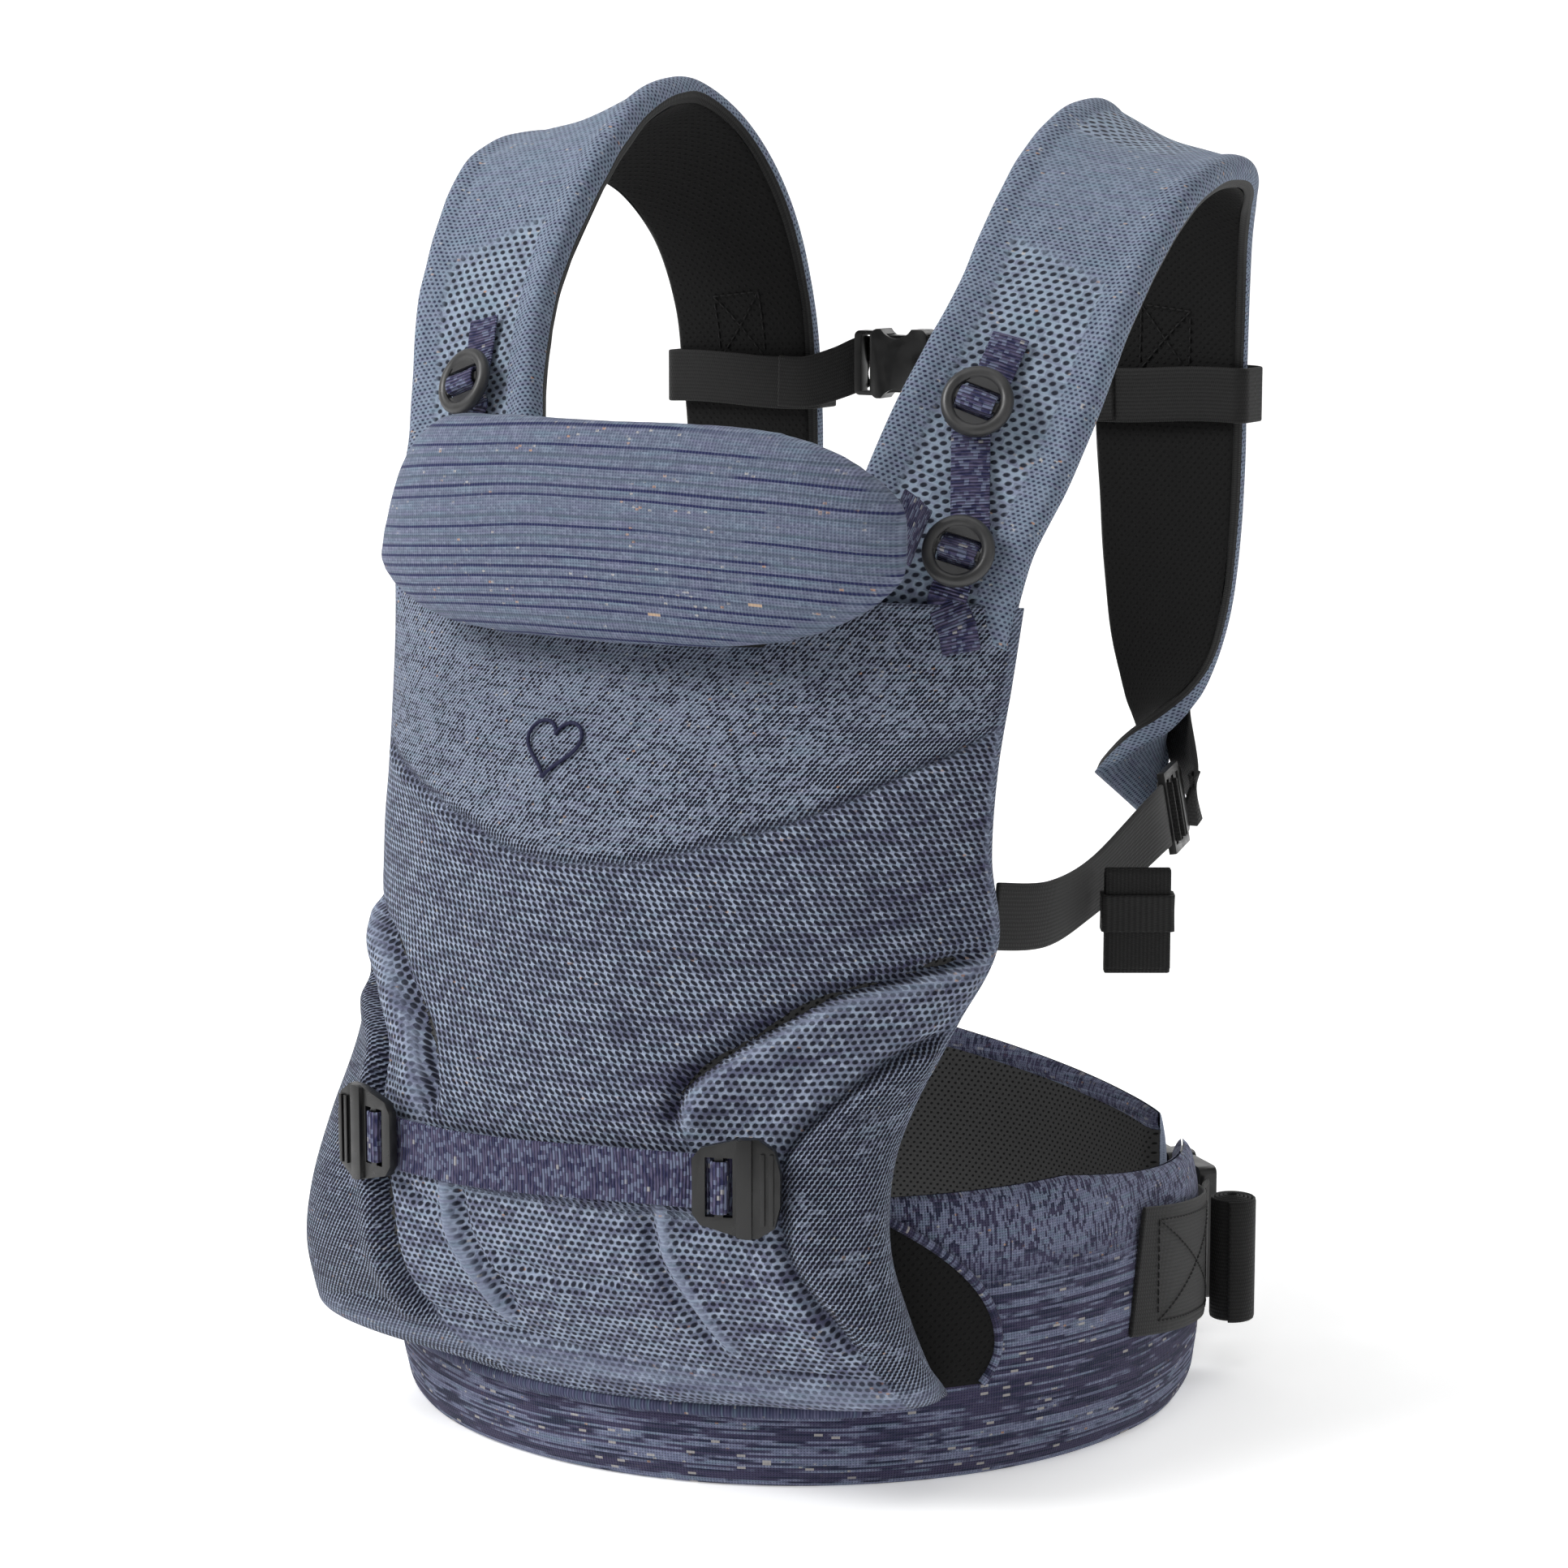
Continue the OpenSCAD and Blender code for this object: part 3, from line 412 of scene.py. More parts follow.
def panel_knit():
    """Front panel: fine knit above, coarse cells below, diamonds beside the folds, ribbed hems."""
    c = Cloth("panel_knit", sheen=0.06)
    x, y = c.cloth_mm()
    coarse, holes, plain = c.weight("coarse"), c.weight("holes"), c.weight("plain")
    # The navy weight carries navy stitches, and also painted shade towards the right, on the left wing and
    # along the creases and folds.
    navy = c.weight("navy")
    fine_slit, fine_cell = c.cells(x, y, pitch=1.9, row=1.4, length=1.6, width=0.75,
                                   turn=0.75, seed=1.0, soft=0.7)
    speck, _ = c.cells(x, y, pitch=1.9, row=1.4, length=1.9, width=1.15, turn=0.75, seed=1.0, soft=0.4)
    big_slit, big_cell = c.cells(x, y, pitch=2.9, row=2.3, length=3.5, width=1.15,
                                 turn=-0.55, seed=2.0, soft=0.6)
    diamond, _ = c.cells(x, y, pitch=3.0, row=2.4, length=2.0, width=1.6, turn=0.0, seed=3.0, soft=0.6)
    patch = c.noise(x * 0.045, y * 0.1, 3.0, 3.0)
    streak = c.ramp(c.noise(x * 0.03, y * 0.42, 9.0, 3.0), 0.46, 0.7)
    dark_share = navy * c.ramp(patch, 0.3, 0.7, 0.5, 1.8) + streak * navy * (0.2 + coarse * 0.4)
    colour = yarn(c, x, y, c.mix(coarse * (1 - plain), linear(140, 150, 170), linear(140, 151, 172)))
    colour = c.mix(streak * (navy * 0.7 + 0.04) * (1 - plain), colour, PLUM)
    bands = c.ramp(c.noise(x * 0.01, (y - x * x * 0.0012) * 0.16, 12.0, 2.0), 0.5, 0.66)
    colour = c.mix(bands * coarse * (0.2 + navy * 0.8) * (1 - plain), colour, linear(74, 74, 104))
    # Each stitch has its own tone
    tone = fine_cell * (1 - coarse) + big_cell * coarse
    lighter = c.ramp(tone, 0.5, 1.0) * (0.14 + coarse * 0.12) * (1 - plain)
    colour = c.mix(lighter, colour, linear(182, 192, 212))
    colour = c.mix(c.ramp(tone, 0.5, 0.1) * (0.1 + coarse * 0.12) * (1 - plain), colour, PLUM)
    # Navy stitches, one cell at a time; where the navy weight carries painted shade, they paint that shade
    fine_navy = c.ramp(dark_share * 1.3 - fine_cell, -0.02, 0.02) * (1 - coarse) * speck
    colour = c.mix(fine_navy * (1 - plain), colour, DEEP)
    # Where navy is dense, as on the wings, its stitches run together; on the left wing this is partly painted
    # shade
    blot = c.ramp(c.noise(x * 0.4, y * 0.9, 14.0, 3.0), 0.53, 0.57) * c.ramp(navy, 0.42, 0.7) * (1 - coarse)
    colour = c.mix(blot * (1 - plain) * 0.5, colour, NAVY)
    big_navy = c.ramp(dark_share - big_cell, -0.02, 0.02) * coarse * (1 - plain)
    colour = c.mix(big_navy * 0.28, colour, PLUM)
    slit = fine_slit * (1 - coarse) * 0.85 + big_slit * coarse * (1 - holes) * 0.97 + diamond * holes * 0.95
    slit = slit * (1 - plain)
    colour = c.mix(slit, colour, DEEP)
    ribs = c.wave(y, 1.3)
    colour = c.mix(plain * ribs * 0.4, colour, linear(84, 88, 114))
    fibre = c.noise(x * 2.4, y * 3.2, 1.0, 2.0)
    height = (1 - slit) * (1 - plain) + plain * ribs * 0.4 + fibre * 0.3
    return c.finish(colour, height, 0.7, 1.0)


def strap_knit():
    """Strap cover: rows of pinholes, and a coarse open zone between the rolled edges."""
    c = Cloth("strap_knit", sheen=0.06)
    x, y = c.cloth_mm()
    open_zone, pins, navy = c.weight("open"), c.weight("pins"), c.weight("navy")
    pin, pin_cell = c.cells(x, y, pitch=2.1, row=1.6, length=1.2, width=0.85, turn=0.3, seed=1.0, soft=0.7)
    hole, hole_cell = c.cells(x, y, pitch=3.7, row=2.9, length=2.3, width=1.6, turn=0.5, seed=2.0, soft=0.6)
    colour = yarn(c, x, y, c.mix(open_zone, linear(116, 128, 146), linear(140, 154, 171)), 2.0)
    stitch = c.ramp(navy - pin_cell, -0.02, 0.02) * pin * (1 - open_zone)
    colour = c.mix(pin * c.ramp(pins, 0.0, 1.0, 0.5, 0.9) * (1 - open_zone), colour, NAVY)
    colour = c.mix(stitch * 0.6, colour, NAVY)
    tone = pin_cell * (1 - open_zone) + hole_cell * open_zone
    colour = c.mix(c.ramp(tone, 0.5, 1.0) * 0.12, colour, linear(176, 188, 208))
    colour = c.mix(c.ramp(tone, 0.5, 0.0) * 0.1, colour, PLUM)
    dark = hole * open_zone
    colour = c.mix(c.ramp(hole_cell, 0.7, 0.72) * open_zone * 0.35, colour, PLUM)
    colour = c.mix(dark * 0.95, colour, DEEP)
    fibre = c.noise(x * 2.2, y * 2.6, 2.0, 2.0)
    height = 1 - dark - pin * (1 - open_zone) * 0.5 + fibre * 0.25
    return c.finish(colour, height, 0.6, 1.0)


def belt_knit():
    """Belt cover: long streaks of light and navy yarn along its rows, with upright dashes near the top."""
    c = Cloth("belt_knit", sheen=0.06)
    x, y = c.cloth_mm()
    low, high, end = c.weight("low"), c.weight("high"), c.weight("end")
    column = c.floor(x / 0.9)
    row_y = y + c.noise(x * 0.006, y * 0.02, 4.0, 1.0) * 6
    row = c.floor(row_y / 0.95)
    run = c.noise(x * 0.045, row * 7.3, 3.0, 3.0)
    tone = run * 0.75 + c.noise(x * 0.02, row_y * 0.12, 6.0, 1.0) * 0.25
    tone = tone + (c.chance(row, 5.0, 1.0) - 0.5) * 0.34
    upright = c.chance(column, c.floor(y / 2.3 + c.chance(column, 2.0, 8.0) * 7), 4.0)
    dash = c.ramp(upright, 0.6, 0.64)
    dark = c.ramp(tone + low * 0.02, 0.39, 0.46) * (1 - high) + dash * high
    lot = c.ramp(c.chance(column, row, 2.0), 0.4, 1.0)
    colour = yarn(c, x, row_y, c.mix(lot * 0.4, linear(110, 116, 142), linear(156, 162, 186)), 4.0)
    colour = c.mix(dark * 0.9, colour, c.mix(c.ramp(run, 0.5, 0.6), PLUM, NAVY))
    stitch = c.wave(x, 1.15)
    purl = c.wave(row_y + stitch * 0.25)
    colour = c.mix(stitch * purl * 0.65, colour, DEEP)
    fleck = c.chance(c.floor(x / 3.2), row, 6.0)
    colour = c.mix(c.ramp(fleck, 0.982, 0.984) * (1 - high) * 0.75, colour, CREAM)
    colour = c.mix(end * 0.9, colour, LIGHT)
    fibre = c.noise(x * 2.4, y * 2.4, 5.0, 2.0)
    height = (1 - stitch * 0.6 - purl * 0.4) * 0.8 + fibre * 0.35 + (1 - dark) * 0.2
    return c.finish(colour, height, 0.5, 0.9)


def pillow_knit():
    """Headrest cover: thin navy lines round it, broken towards one end, over fine upright ribs."""
    c = Cloth("pillow_knit", sheen=0.06)
    x, y, z = c.place_mm()
    level = z + x * x * 0.00055 + c.noise(x * 0.012, z * 0.03, 8.0, 1.0) * 3
    row = c.floor(level / 3.7)
    lot = c.chance(row, 3.0, 1.0)
    main = c.math("MODULO", row, 2.0)
    across = c.math("ABSOLUTE", level / 3.7 - row - 0.5) * 3.7
    line = c.ramp(across, 0.3, 0.7, 1.0, 0.0)
    gap = c.ramp(c.noise(x * 0.02, row * 5.3, 2.0, 1.0), 0.5, 0.46) * c.ramp(x, 0, 80, 0.1, 1.0)
    keep = (main * c.ramp(lot, 0.06, 0.07) + (1 - main) * c.ramp(lot, 0.6, 0.61)) * (1 - gap)
    grey = c.ramp(lot, 0.1, 0.11) * line * (1 - keep)
    ribs = c.wave(x, 1.25)
    fine = c.wave(level, 1.1)
    colour = yarn(c, x, level, linear(101, 109, 128), 7.0)
    stitch_tone = c.chance(c.floor(x / 1.25), c.floor(level / 1.1), 4.0)
    colour = c.mix(c.ramp(stitch_tone, 0.5, 1.0) * 0.16, colour, linear(168, 178, 198))
    colour = c.mix(c.ramp(stitch_tone, 0.4, 0.0) * 0.16, colour, PLUM)
    colour = c.mix(grey * 0.6, colour, linear(70, 84, 96))
    colour = c.mix(ribs * fine * 0.65, colour, linear(50, 56, 80))
    colour = c.mix(line * keep * c.ramp(ribs, 0.0, 0.6, 0.8, 1.0) * 0.95, colour, linear(25, 29, 72))
    spark = c.chance(c.floor(x / 5), row, 6.0)
    colour = c.mix(c.ramp(spark, 0.99, 0.992) * line * 0.8, colour, linear(196, 168, 140))
    height = ribs * 0.5 + fine * 0.4 + (1 - line * keep) * 0.4
    return c.finish(colour, height, 0.4, 0.8)


def band_knit():
    """Dense ribbed melange band of navy and plum, with light dashes."""
    c = Cloth("band_knit", sheen=0.06)
    x, y = c.cloth_mm()
    drift = c.noise(x * 0.12, y * 0.12, 1.0, 2.0) * 1.6
    rib_at = y / 1.25 + drift * 0.35
    rib = c.floor(rib_at)
    crest = c.wave(rib_at)
    dash = c.chance(c.floor(x / 1.7 + c.chance(rib, 4.0, 2.0) * 5), rib, 1.0)
    tone = c.noise(x * 0.2, y * 0.6, 9.0, 3.0)
    colour = c.mix(c.ramp(tone, 0.38, 0.62), linear(44, 46, 80), linear(88, 84, 112))
    colour = c.mix(c.ramp(dash, 0.62, 0.66) * 0.85, colour, linear(114, 122, 148))
    colour = c.mix(c.ramp(dash, 0.985, 0.987) * 0.7, colour, CREAM)
    colour = c.mix(c.ramp(crest, 0.4, 0.0) * 0.75, colour, DEEP)
    height = crest + c.noise(x * 2.5, y * 2.5, 3.0, 2.0) * 0.4
    return c.finish(colour, height, 0.5, 0.9)


def plain_knit():
    """Plain dark rib of the piping."""
    c = Cloth("plain_knit", sheen=0.06)
    x, y = c.cloth_mm()
    ribs = c.wave(y, 1.2)
    colour = yarn(c, x, y, linear(70, 72, 98), 3.0)
    colour = c.mix(ribs * 0.6, colour, NAVY)
    height = ribs * 0.5 + c.noise(x * 2.2, y * 2.2, 2.0, 2.0) * 0.3
    return c.finish(colour, height, 0.35, 0.7)


def air_mesh(name, grey):
    """Black spacer mesh with slanted rows of pinholes."""
    c = Cloth(name, roughness=0.85, specular=0.2)
    x, y = c.cloth_mm()
    hole, _ = c.cells(x, y, pitch=3.4, row=2.0, length=1.3, width=1.0, turn=0.3, seed=1.0, soft=0.6)
    thread = c.noise(x * 1.6, y * 1.6, 1.0, 2.0)
    opening = hole * 0.95
    strand = c.mix(thread, grey_light(grey * 0.7), grey_light(grey))
    colour = c.mix(opening, strand, MESH_DARK)
    height = 1 - hole + thread * 0.2
    return c.finish(colour, height, 0.6, 0.8)


def webbing(name="webbing", grey=28, pitch=1.5):
    """Black webbing: close upright ribs and a fine twill across them."""
    c = Cloth(name, roughness=0.72, specular=0.3, sheen=0.05)
    x, y = c.cloth_mm()
    rib_at = x / pitch
    rib = c.wave(rib_at)
    twill = c.wave(y / 0.9 + c.math("MODULO", c.floor(rib_at), 2.0) * 0.5)
    # The rib crests are painted lit, a painted highlight that is weaker in soft patches
    lit_patches = c.noise(x * 0.08, y * 0.08, 2.0, 3.0)
    lit = rib * c.ramp(twill, 0.0, 1.0, 0.5, 1.0) * c.ramp(lit_patches, 0.3, 0.7, 0.8, 1.0)
    colour = c.mix(lit, grey_light(grey * 0.5), grey_light(grey))
    height = rib * 0.6 + twill * 0.5
    return c.finish(colour, height, 0.3, 0.7)


def thread(name="thread", rgb=(26, 26, 26)):
    """Sewing thread, twisted."""
    c = Cloth(name, roughness=0.6, specular=0.3)
    x, y = c.cloth_mm()
    twist = c.wave(x + y * 1.4, 0.6)
    colour = c.mix(twist, linear(*(v * 0.6 for v in rgb)), linear(*rgb))
    return c.finish(colour, twist, 0.15, 0.6)


def moulded(name="moulded", grey=20, roughness=0.33):
    """Moulded nylon: a fine spark-eroded grain, and soft patches that are slightly more polished and darker.
    """
    c = Cloth(name, roughness=roughness, specular=0.45)
    x, y, z = c.place_mm()
    grain = c.noise(x * 3.5, y * 3.5, z * 3.5, 2.0)
    haze = c.noise(x * 0.15, y * 0.15, z * 0.15, 2.0)
    dark, light = (linear(grey * k, grey * k, grey * (k + 0.01)) for k in (0.85, 1.15))
    colour = c.mix(haze, dark, light)
    c.feed(c.shader.inputs["Roughness"], c.ramp(haze, 0.3, 0.7, roughness - 0.06, roughness + 0.08))
    return c.finish(colour, grain, 0.06, 0.5)


PANEL_KNIT, STRAP_KNIT, BELT_KNIT = panel_knit(), strap_knit(), belt_knit()
PILLOW_KNIT, BAND_KNIT, PLAIN_KNIT = pillow_knit(), band_knit(), plain_knit()
# Two greys of one black mesh: the lighter one on the belt and panel linings, and a darker copy on the strap
# linings and leg gussets, which is painted shade.
AIR_MESH, SHADED_BLACK_MESH = air_mesh("air_mesh", 76), air_mesh("black_mesh_shaded", 22)
WEBBING, ELASTIC = webbing(), webbing("elastic", 36, 2.2)
THREAD, NAVY_THREAD = thread(), thread("navy_thread", (34, 36, 74))
PLASTIC = moulded()
RING_PLASTIC = moulded("ring_plastic", 50, 0.38)


# ---- Front panel ----

BELT_R = 161
PANEL_T = 2.4
HEM_Z = 34
HEM_R = BELT_R + PANEL_T + 0.6
# Level, middle depth, first handle's x, second handle's x and depth, free edge's x and depth
PANEL_KEYS = [
    [HEM_Z, HEM_R, 0.3 * HEM_R, 0.59 * HEM_R, 0.86 * HEM_R, 0.777 * HEM_R, 0.629 * HEM_R],
    [40, 167, 62, 150, 160, 127, 113],
    [52, 172, 72, 163, 166, 123, 122],
    [74, 184, 70, 162, 174, 119, 132],
    [98, 189, 60, 154, 176, 116, 138],
    [124, 190, 60, 140, 165, 116, 135],
    [150, 186, 60, 112, 162, 121, 126],
    [176, 177, 60, 110, 150, 128, 108],
    [202, 167, 58, 114, 138, 135, 92],
    [234, 154, 56, 114, 128, 133, 94],
    [266, 142, 56, 114, 118, 133, 90],
    [296, 124, 54, 112, 109, 135, 84],
    [324, 110, 52, 110, 99, 137, 80],
]
NECK_Z = 307
CORNER_R = 16
NECK_HALF_W = 58


def panel_at(u, s):
    u, s = np.broadcast_arrays(u, s)
    k = along(PANEL_KEYS, s)
    t = np.abs(u)[..., None]
    flat = np.zeros(k.shape[:-1])
    a = np.stack([flat, -k[..., 1]], -1)
    b = np.stack([k[..., 2], -k[..., 1]], -1)
    c = np.stack([k[..., 3], -k[..., 4]], -1)
    d = np.stack([k[..., 5], -k[..., 6]], -1)
    p = a * (1 - t) ** 3 + b * 3 * (1 - t) ** 2 * t + c * 3 * (1 - t) * t**2 + d * t**3
    return np.stack([np.sign(u) * p[..., 0], p[..., 1], k[..., 0]], -1)


def panel_normal(u, s, step=0.002):
    across = panel_at(u + step, s) - panel_at(u - step, s)
    up = panel_at(u, np.minimum(s + step, 1)) - panel_at(u, np.maximum(s - step, 0))
    return unit(np.cross(across, up))


def panel_row(z):
    """Row of the panel's keys that passes through the height z."""
    rows = np.linspace(0, 1, 2001)
    return np.interp(z, along(PANEL_KEYS, rows)[:, 0], rows)


def panel_col(x, s):
    """Place across the panel where its x is reached on row s."""
    cols = np.linspace(0, 0.9, 901)
    return np.interp(x, panel_at(cols, np.full(901, s))[:, 0], cols)


def panel_spot(x, z):
    """Row, column, place and outward direction of the panel at an x and a height."""
    row = float(panel_row(z))
    col = math.copysign(float(panel_col(abs(x), row)), x)
    return row, col, panel_at(np.array(col), np.array(row)), panel_normal(np.array(col), np.array(row))


# Folds: points as (u, height), then each ripple as (offset to the line's left, how high, how wide)
FOLDS = [
    # The long crease under the chest
    ([(-0.95, 262), (-0.79, 255), (-0.43, 241), (-0.19, 231), (0.07, 231), (0.29, 240), (0.5, 251),
      (0.69, 264), (0.99, 281)], [(0, -2.0, 1.8), (-4, 1.2, 3.5), (4, 0.8, 4)]),
    # Deep fold over each leg opening, with its ridge below
    ([(0.33, 138), (0.33, 150), (0.37, 160), (0.5, 174), (0.63, 185), (0.81, 191), (1.0, 197)],
     [(4.5, -7.5, 3.6), (-5, 4.5, 9.0)]),
    ([(-0.3, 132), (-0.34, 144), (-0.39, 158), (-0.48, 170), (-0.66, 185), (-1.0, 197)],
     [(-4.5, -7.0, 3.6), (5, 4.2, 9.0)]),
    # Second crease, down each wing
    ([(0.62, 62), (0.54, 86), (0.51, 106), (0.51, 122), (0.55, 136), (0.67, 149), (0.84, 165), (1.0, 174)],
     [(0, -5.5, 3.0), (-8, 3.6, 8.0), (7, 2.4, 6.0)]),
    ([(-0.25, 52), (-0.3, 62), (-0.36, 88), (-0.41, 111), (-0.52, 142), (-0.6, 161), (-0.85, 176)],
     [(0, -6.0, 3.2), (8, 3.0, 6.0)]),
    # Ridge and creases below the seat band
    ([(-0.09, 58), (-0.14, 76), (-0.2, 92), (-0.225, 108), (-0.225, 118)],
     [(0, 2.8, 2.8), (-5.5, -4.0, 3.0)]),
    ([(0.32, 58), (0.28, 75), (0.25, 93), (0.24, 110), (0.23, 120)], [(-4, 2.4, 3.0), (2, -4.0, 3.4)]),
    ([(0.02, 56), (0.03, 80), (0.05, 112)], [(0, 0.8, 5.0)]),
    # Gathers below each slider, and a crease across the middle
    ([(0.38, 113), (0.31, 105), (0.23, 101)], [(0, -1.8, 1.8), (4, 0.8, 2.5)]),
    ([(-0.36, 113), (-0.29, 104), (-0.2, 100)], [(0, -1.8, 1.8), (-4, 0.8, 2.5)]),
    ([(-0.16, 92), (-0.05, 84), (0.08, 82), (0.19, 87)], [(0, -1.8, 2.0), (-4.5, 1.2, 3.0)]),
    # Soft hollow above the right-hand fold
    ([(0.15, 169), (0.31, 187), (0.47, 202), (0.68, 210), (0.93, 214)], [(0, -1.5, 9.0)]),
    # Seam of the hem
    ([(-0.8, 47), (-0.32, 58), (-0.09, 55), (0.09, 52), (0.27, 52), (0.5, 55), (0.8, 50)], [(0, -1.3, 1.2)]),
]


def fold_distance(x, y, line):
    """Distance to a line, positive on its left, and how far in from its ends the nearest point is."""
    best = np.full(x.shape, 1e9)
    signed, inside = np.zeros(x.shape), np.zeros(x.shape)
    run = lengths(line)
    for k in range(len(line) - 1):
        (ax, ay), (bx, by) = line[k], line[k + 1]
        dx, dy = bx - ax, by - ay
        t = np.clip(((x - ax) * dx + (y - ay) * dy) / (dx * dx + dy * dy), 0, 1)
        ox, oy = x - ax - t * dx, y - ay - t * dy
        d = np.hypot(ox, oy)
        near = d < best
        best = np.where(near, d, best)
        signed = np.where(near, np.where(dx * oy - dy * ox >= 0, d, -d), signed)
        at = run[k] + t * (run[k + 1] - run[k])
        inside = np.where(near, np.minimum(at, run[-1] - at), inside)
    return signed, inside


class PanelCloth:
    """The panel's grid of points, with its cloth distances and its folds."""

    def __init__(self, rows, cols, u_max=1.0, low=0.0, top_share=1.0):
        u = np.linspace(-u_max, u_max, cols)
        v = np.linspace(0, 1, rows)
        # The neckline: the middle of the top edge is lower than its corners
        edge_x = np.abs(panel_at(u, np.ones(cols))[:, 0])
        corner_rise = PANEL_KEYS[-1][0] - NECK_Z
        neck = NECK_Z + corner_rise * smooth(edge_x, NECK_HALF_W - 10, NECK_HALF_W + 6)
        top = panel_row(neck) * top_share
        self.s = low + v[:, None] * (top[None, :] - low)
        # The lower corners are round
        level = along(PANEL_KEYS, self.s)[..., 0]
        corner = 1 - np.clip((level - HEM_Z) / CORNER_R, 0, 1)
        self.u = u * (1 - CORNER_R / 150 * (1 - np.sqrt(1 - corner**2)))
        self.base = panel_at(self.u, self.s)
        self.normal = panel_normal(self.u, self.s)
        even = panel_at(np.linspace(0, 1, 400)[None, :], np.linspace(0, 1, 60)[:, None])
        arc = np.concatenate(
            [np.zeros((60, 1)), np.linalg.norm(np.diff(even[..., :2], axis=1), axis=-1).cumsum(1)], axis=1
        )
        self.arc_table = arc
        rise = lengths(even[:, 0])
        self.y = np.interp(self.s, np.linspace(0, 1, 60), rise)
        self.rise_table = rise
        self.x = self.arc(self.u, self.s)

    def arc(self, u, s):
        """Cloth distance from the middle line."""
        row = np.clip(s, 0, 1) * 59
        i = np.minimum(row.astype(int), 58)
        col = np.abs(u) * 399
        j = np.minimum(col.astype(int), 398)
        fr, fc = row - i, np.clip(col - j, 0, 1)
        a = self.arc_table
        upper = a[i, j] * (1 - fc) + a[i, j + 1] * fc
        lower = a[i + 1, j] * (1 - fc) + a[i + 1, j + 1] * fc
        return np.sign(u) * (upper * (1 - fr) + lower * fr)

    def line(self, points):
        """A fold's points in cloth distances, rounded into a curve."""
        fine = along([list(p) for p in points], np.linspace(0, 1, 8 * len(points)))
        s = panel_row(fine[:, 1])
        return np.stack([self.arc(fine[:, 0], s), np.interp(s, np.linspace(0, 1, 60), self.rise_table)], -1)

    def fold(self, fold, taper=14.0):
        points, ripples = fold
        d, inside = fold_distance(self.x, self.y, self.line(points))
        fade = smooth(inside, -1, taper)
        return sum(high * hill(d - offset, wide) for offset, high, wide in ripples) * fade

    def band(self, points, low, high, soft=1.2):
        """Weight of the strip between two offsets from a line."""
        d, inside = fold_distance(self.x, self.y, self.line(points))
        between = smooth(d, low - soft, low + soft) * (1 - smooth(d, high - soft, high + soft))
        return between * smooth(inside, -1, 6)

    def above(self, points, soft=3.0):
        d, _ = fold_distance(self.x, self.y, self.line(points))
        return smooth(d, -soft, soft)


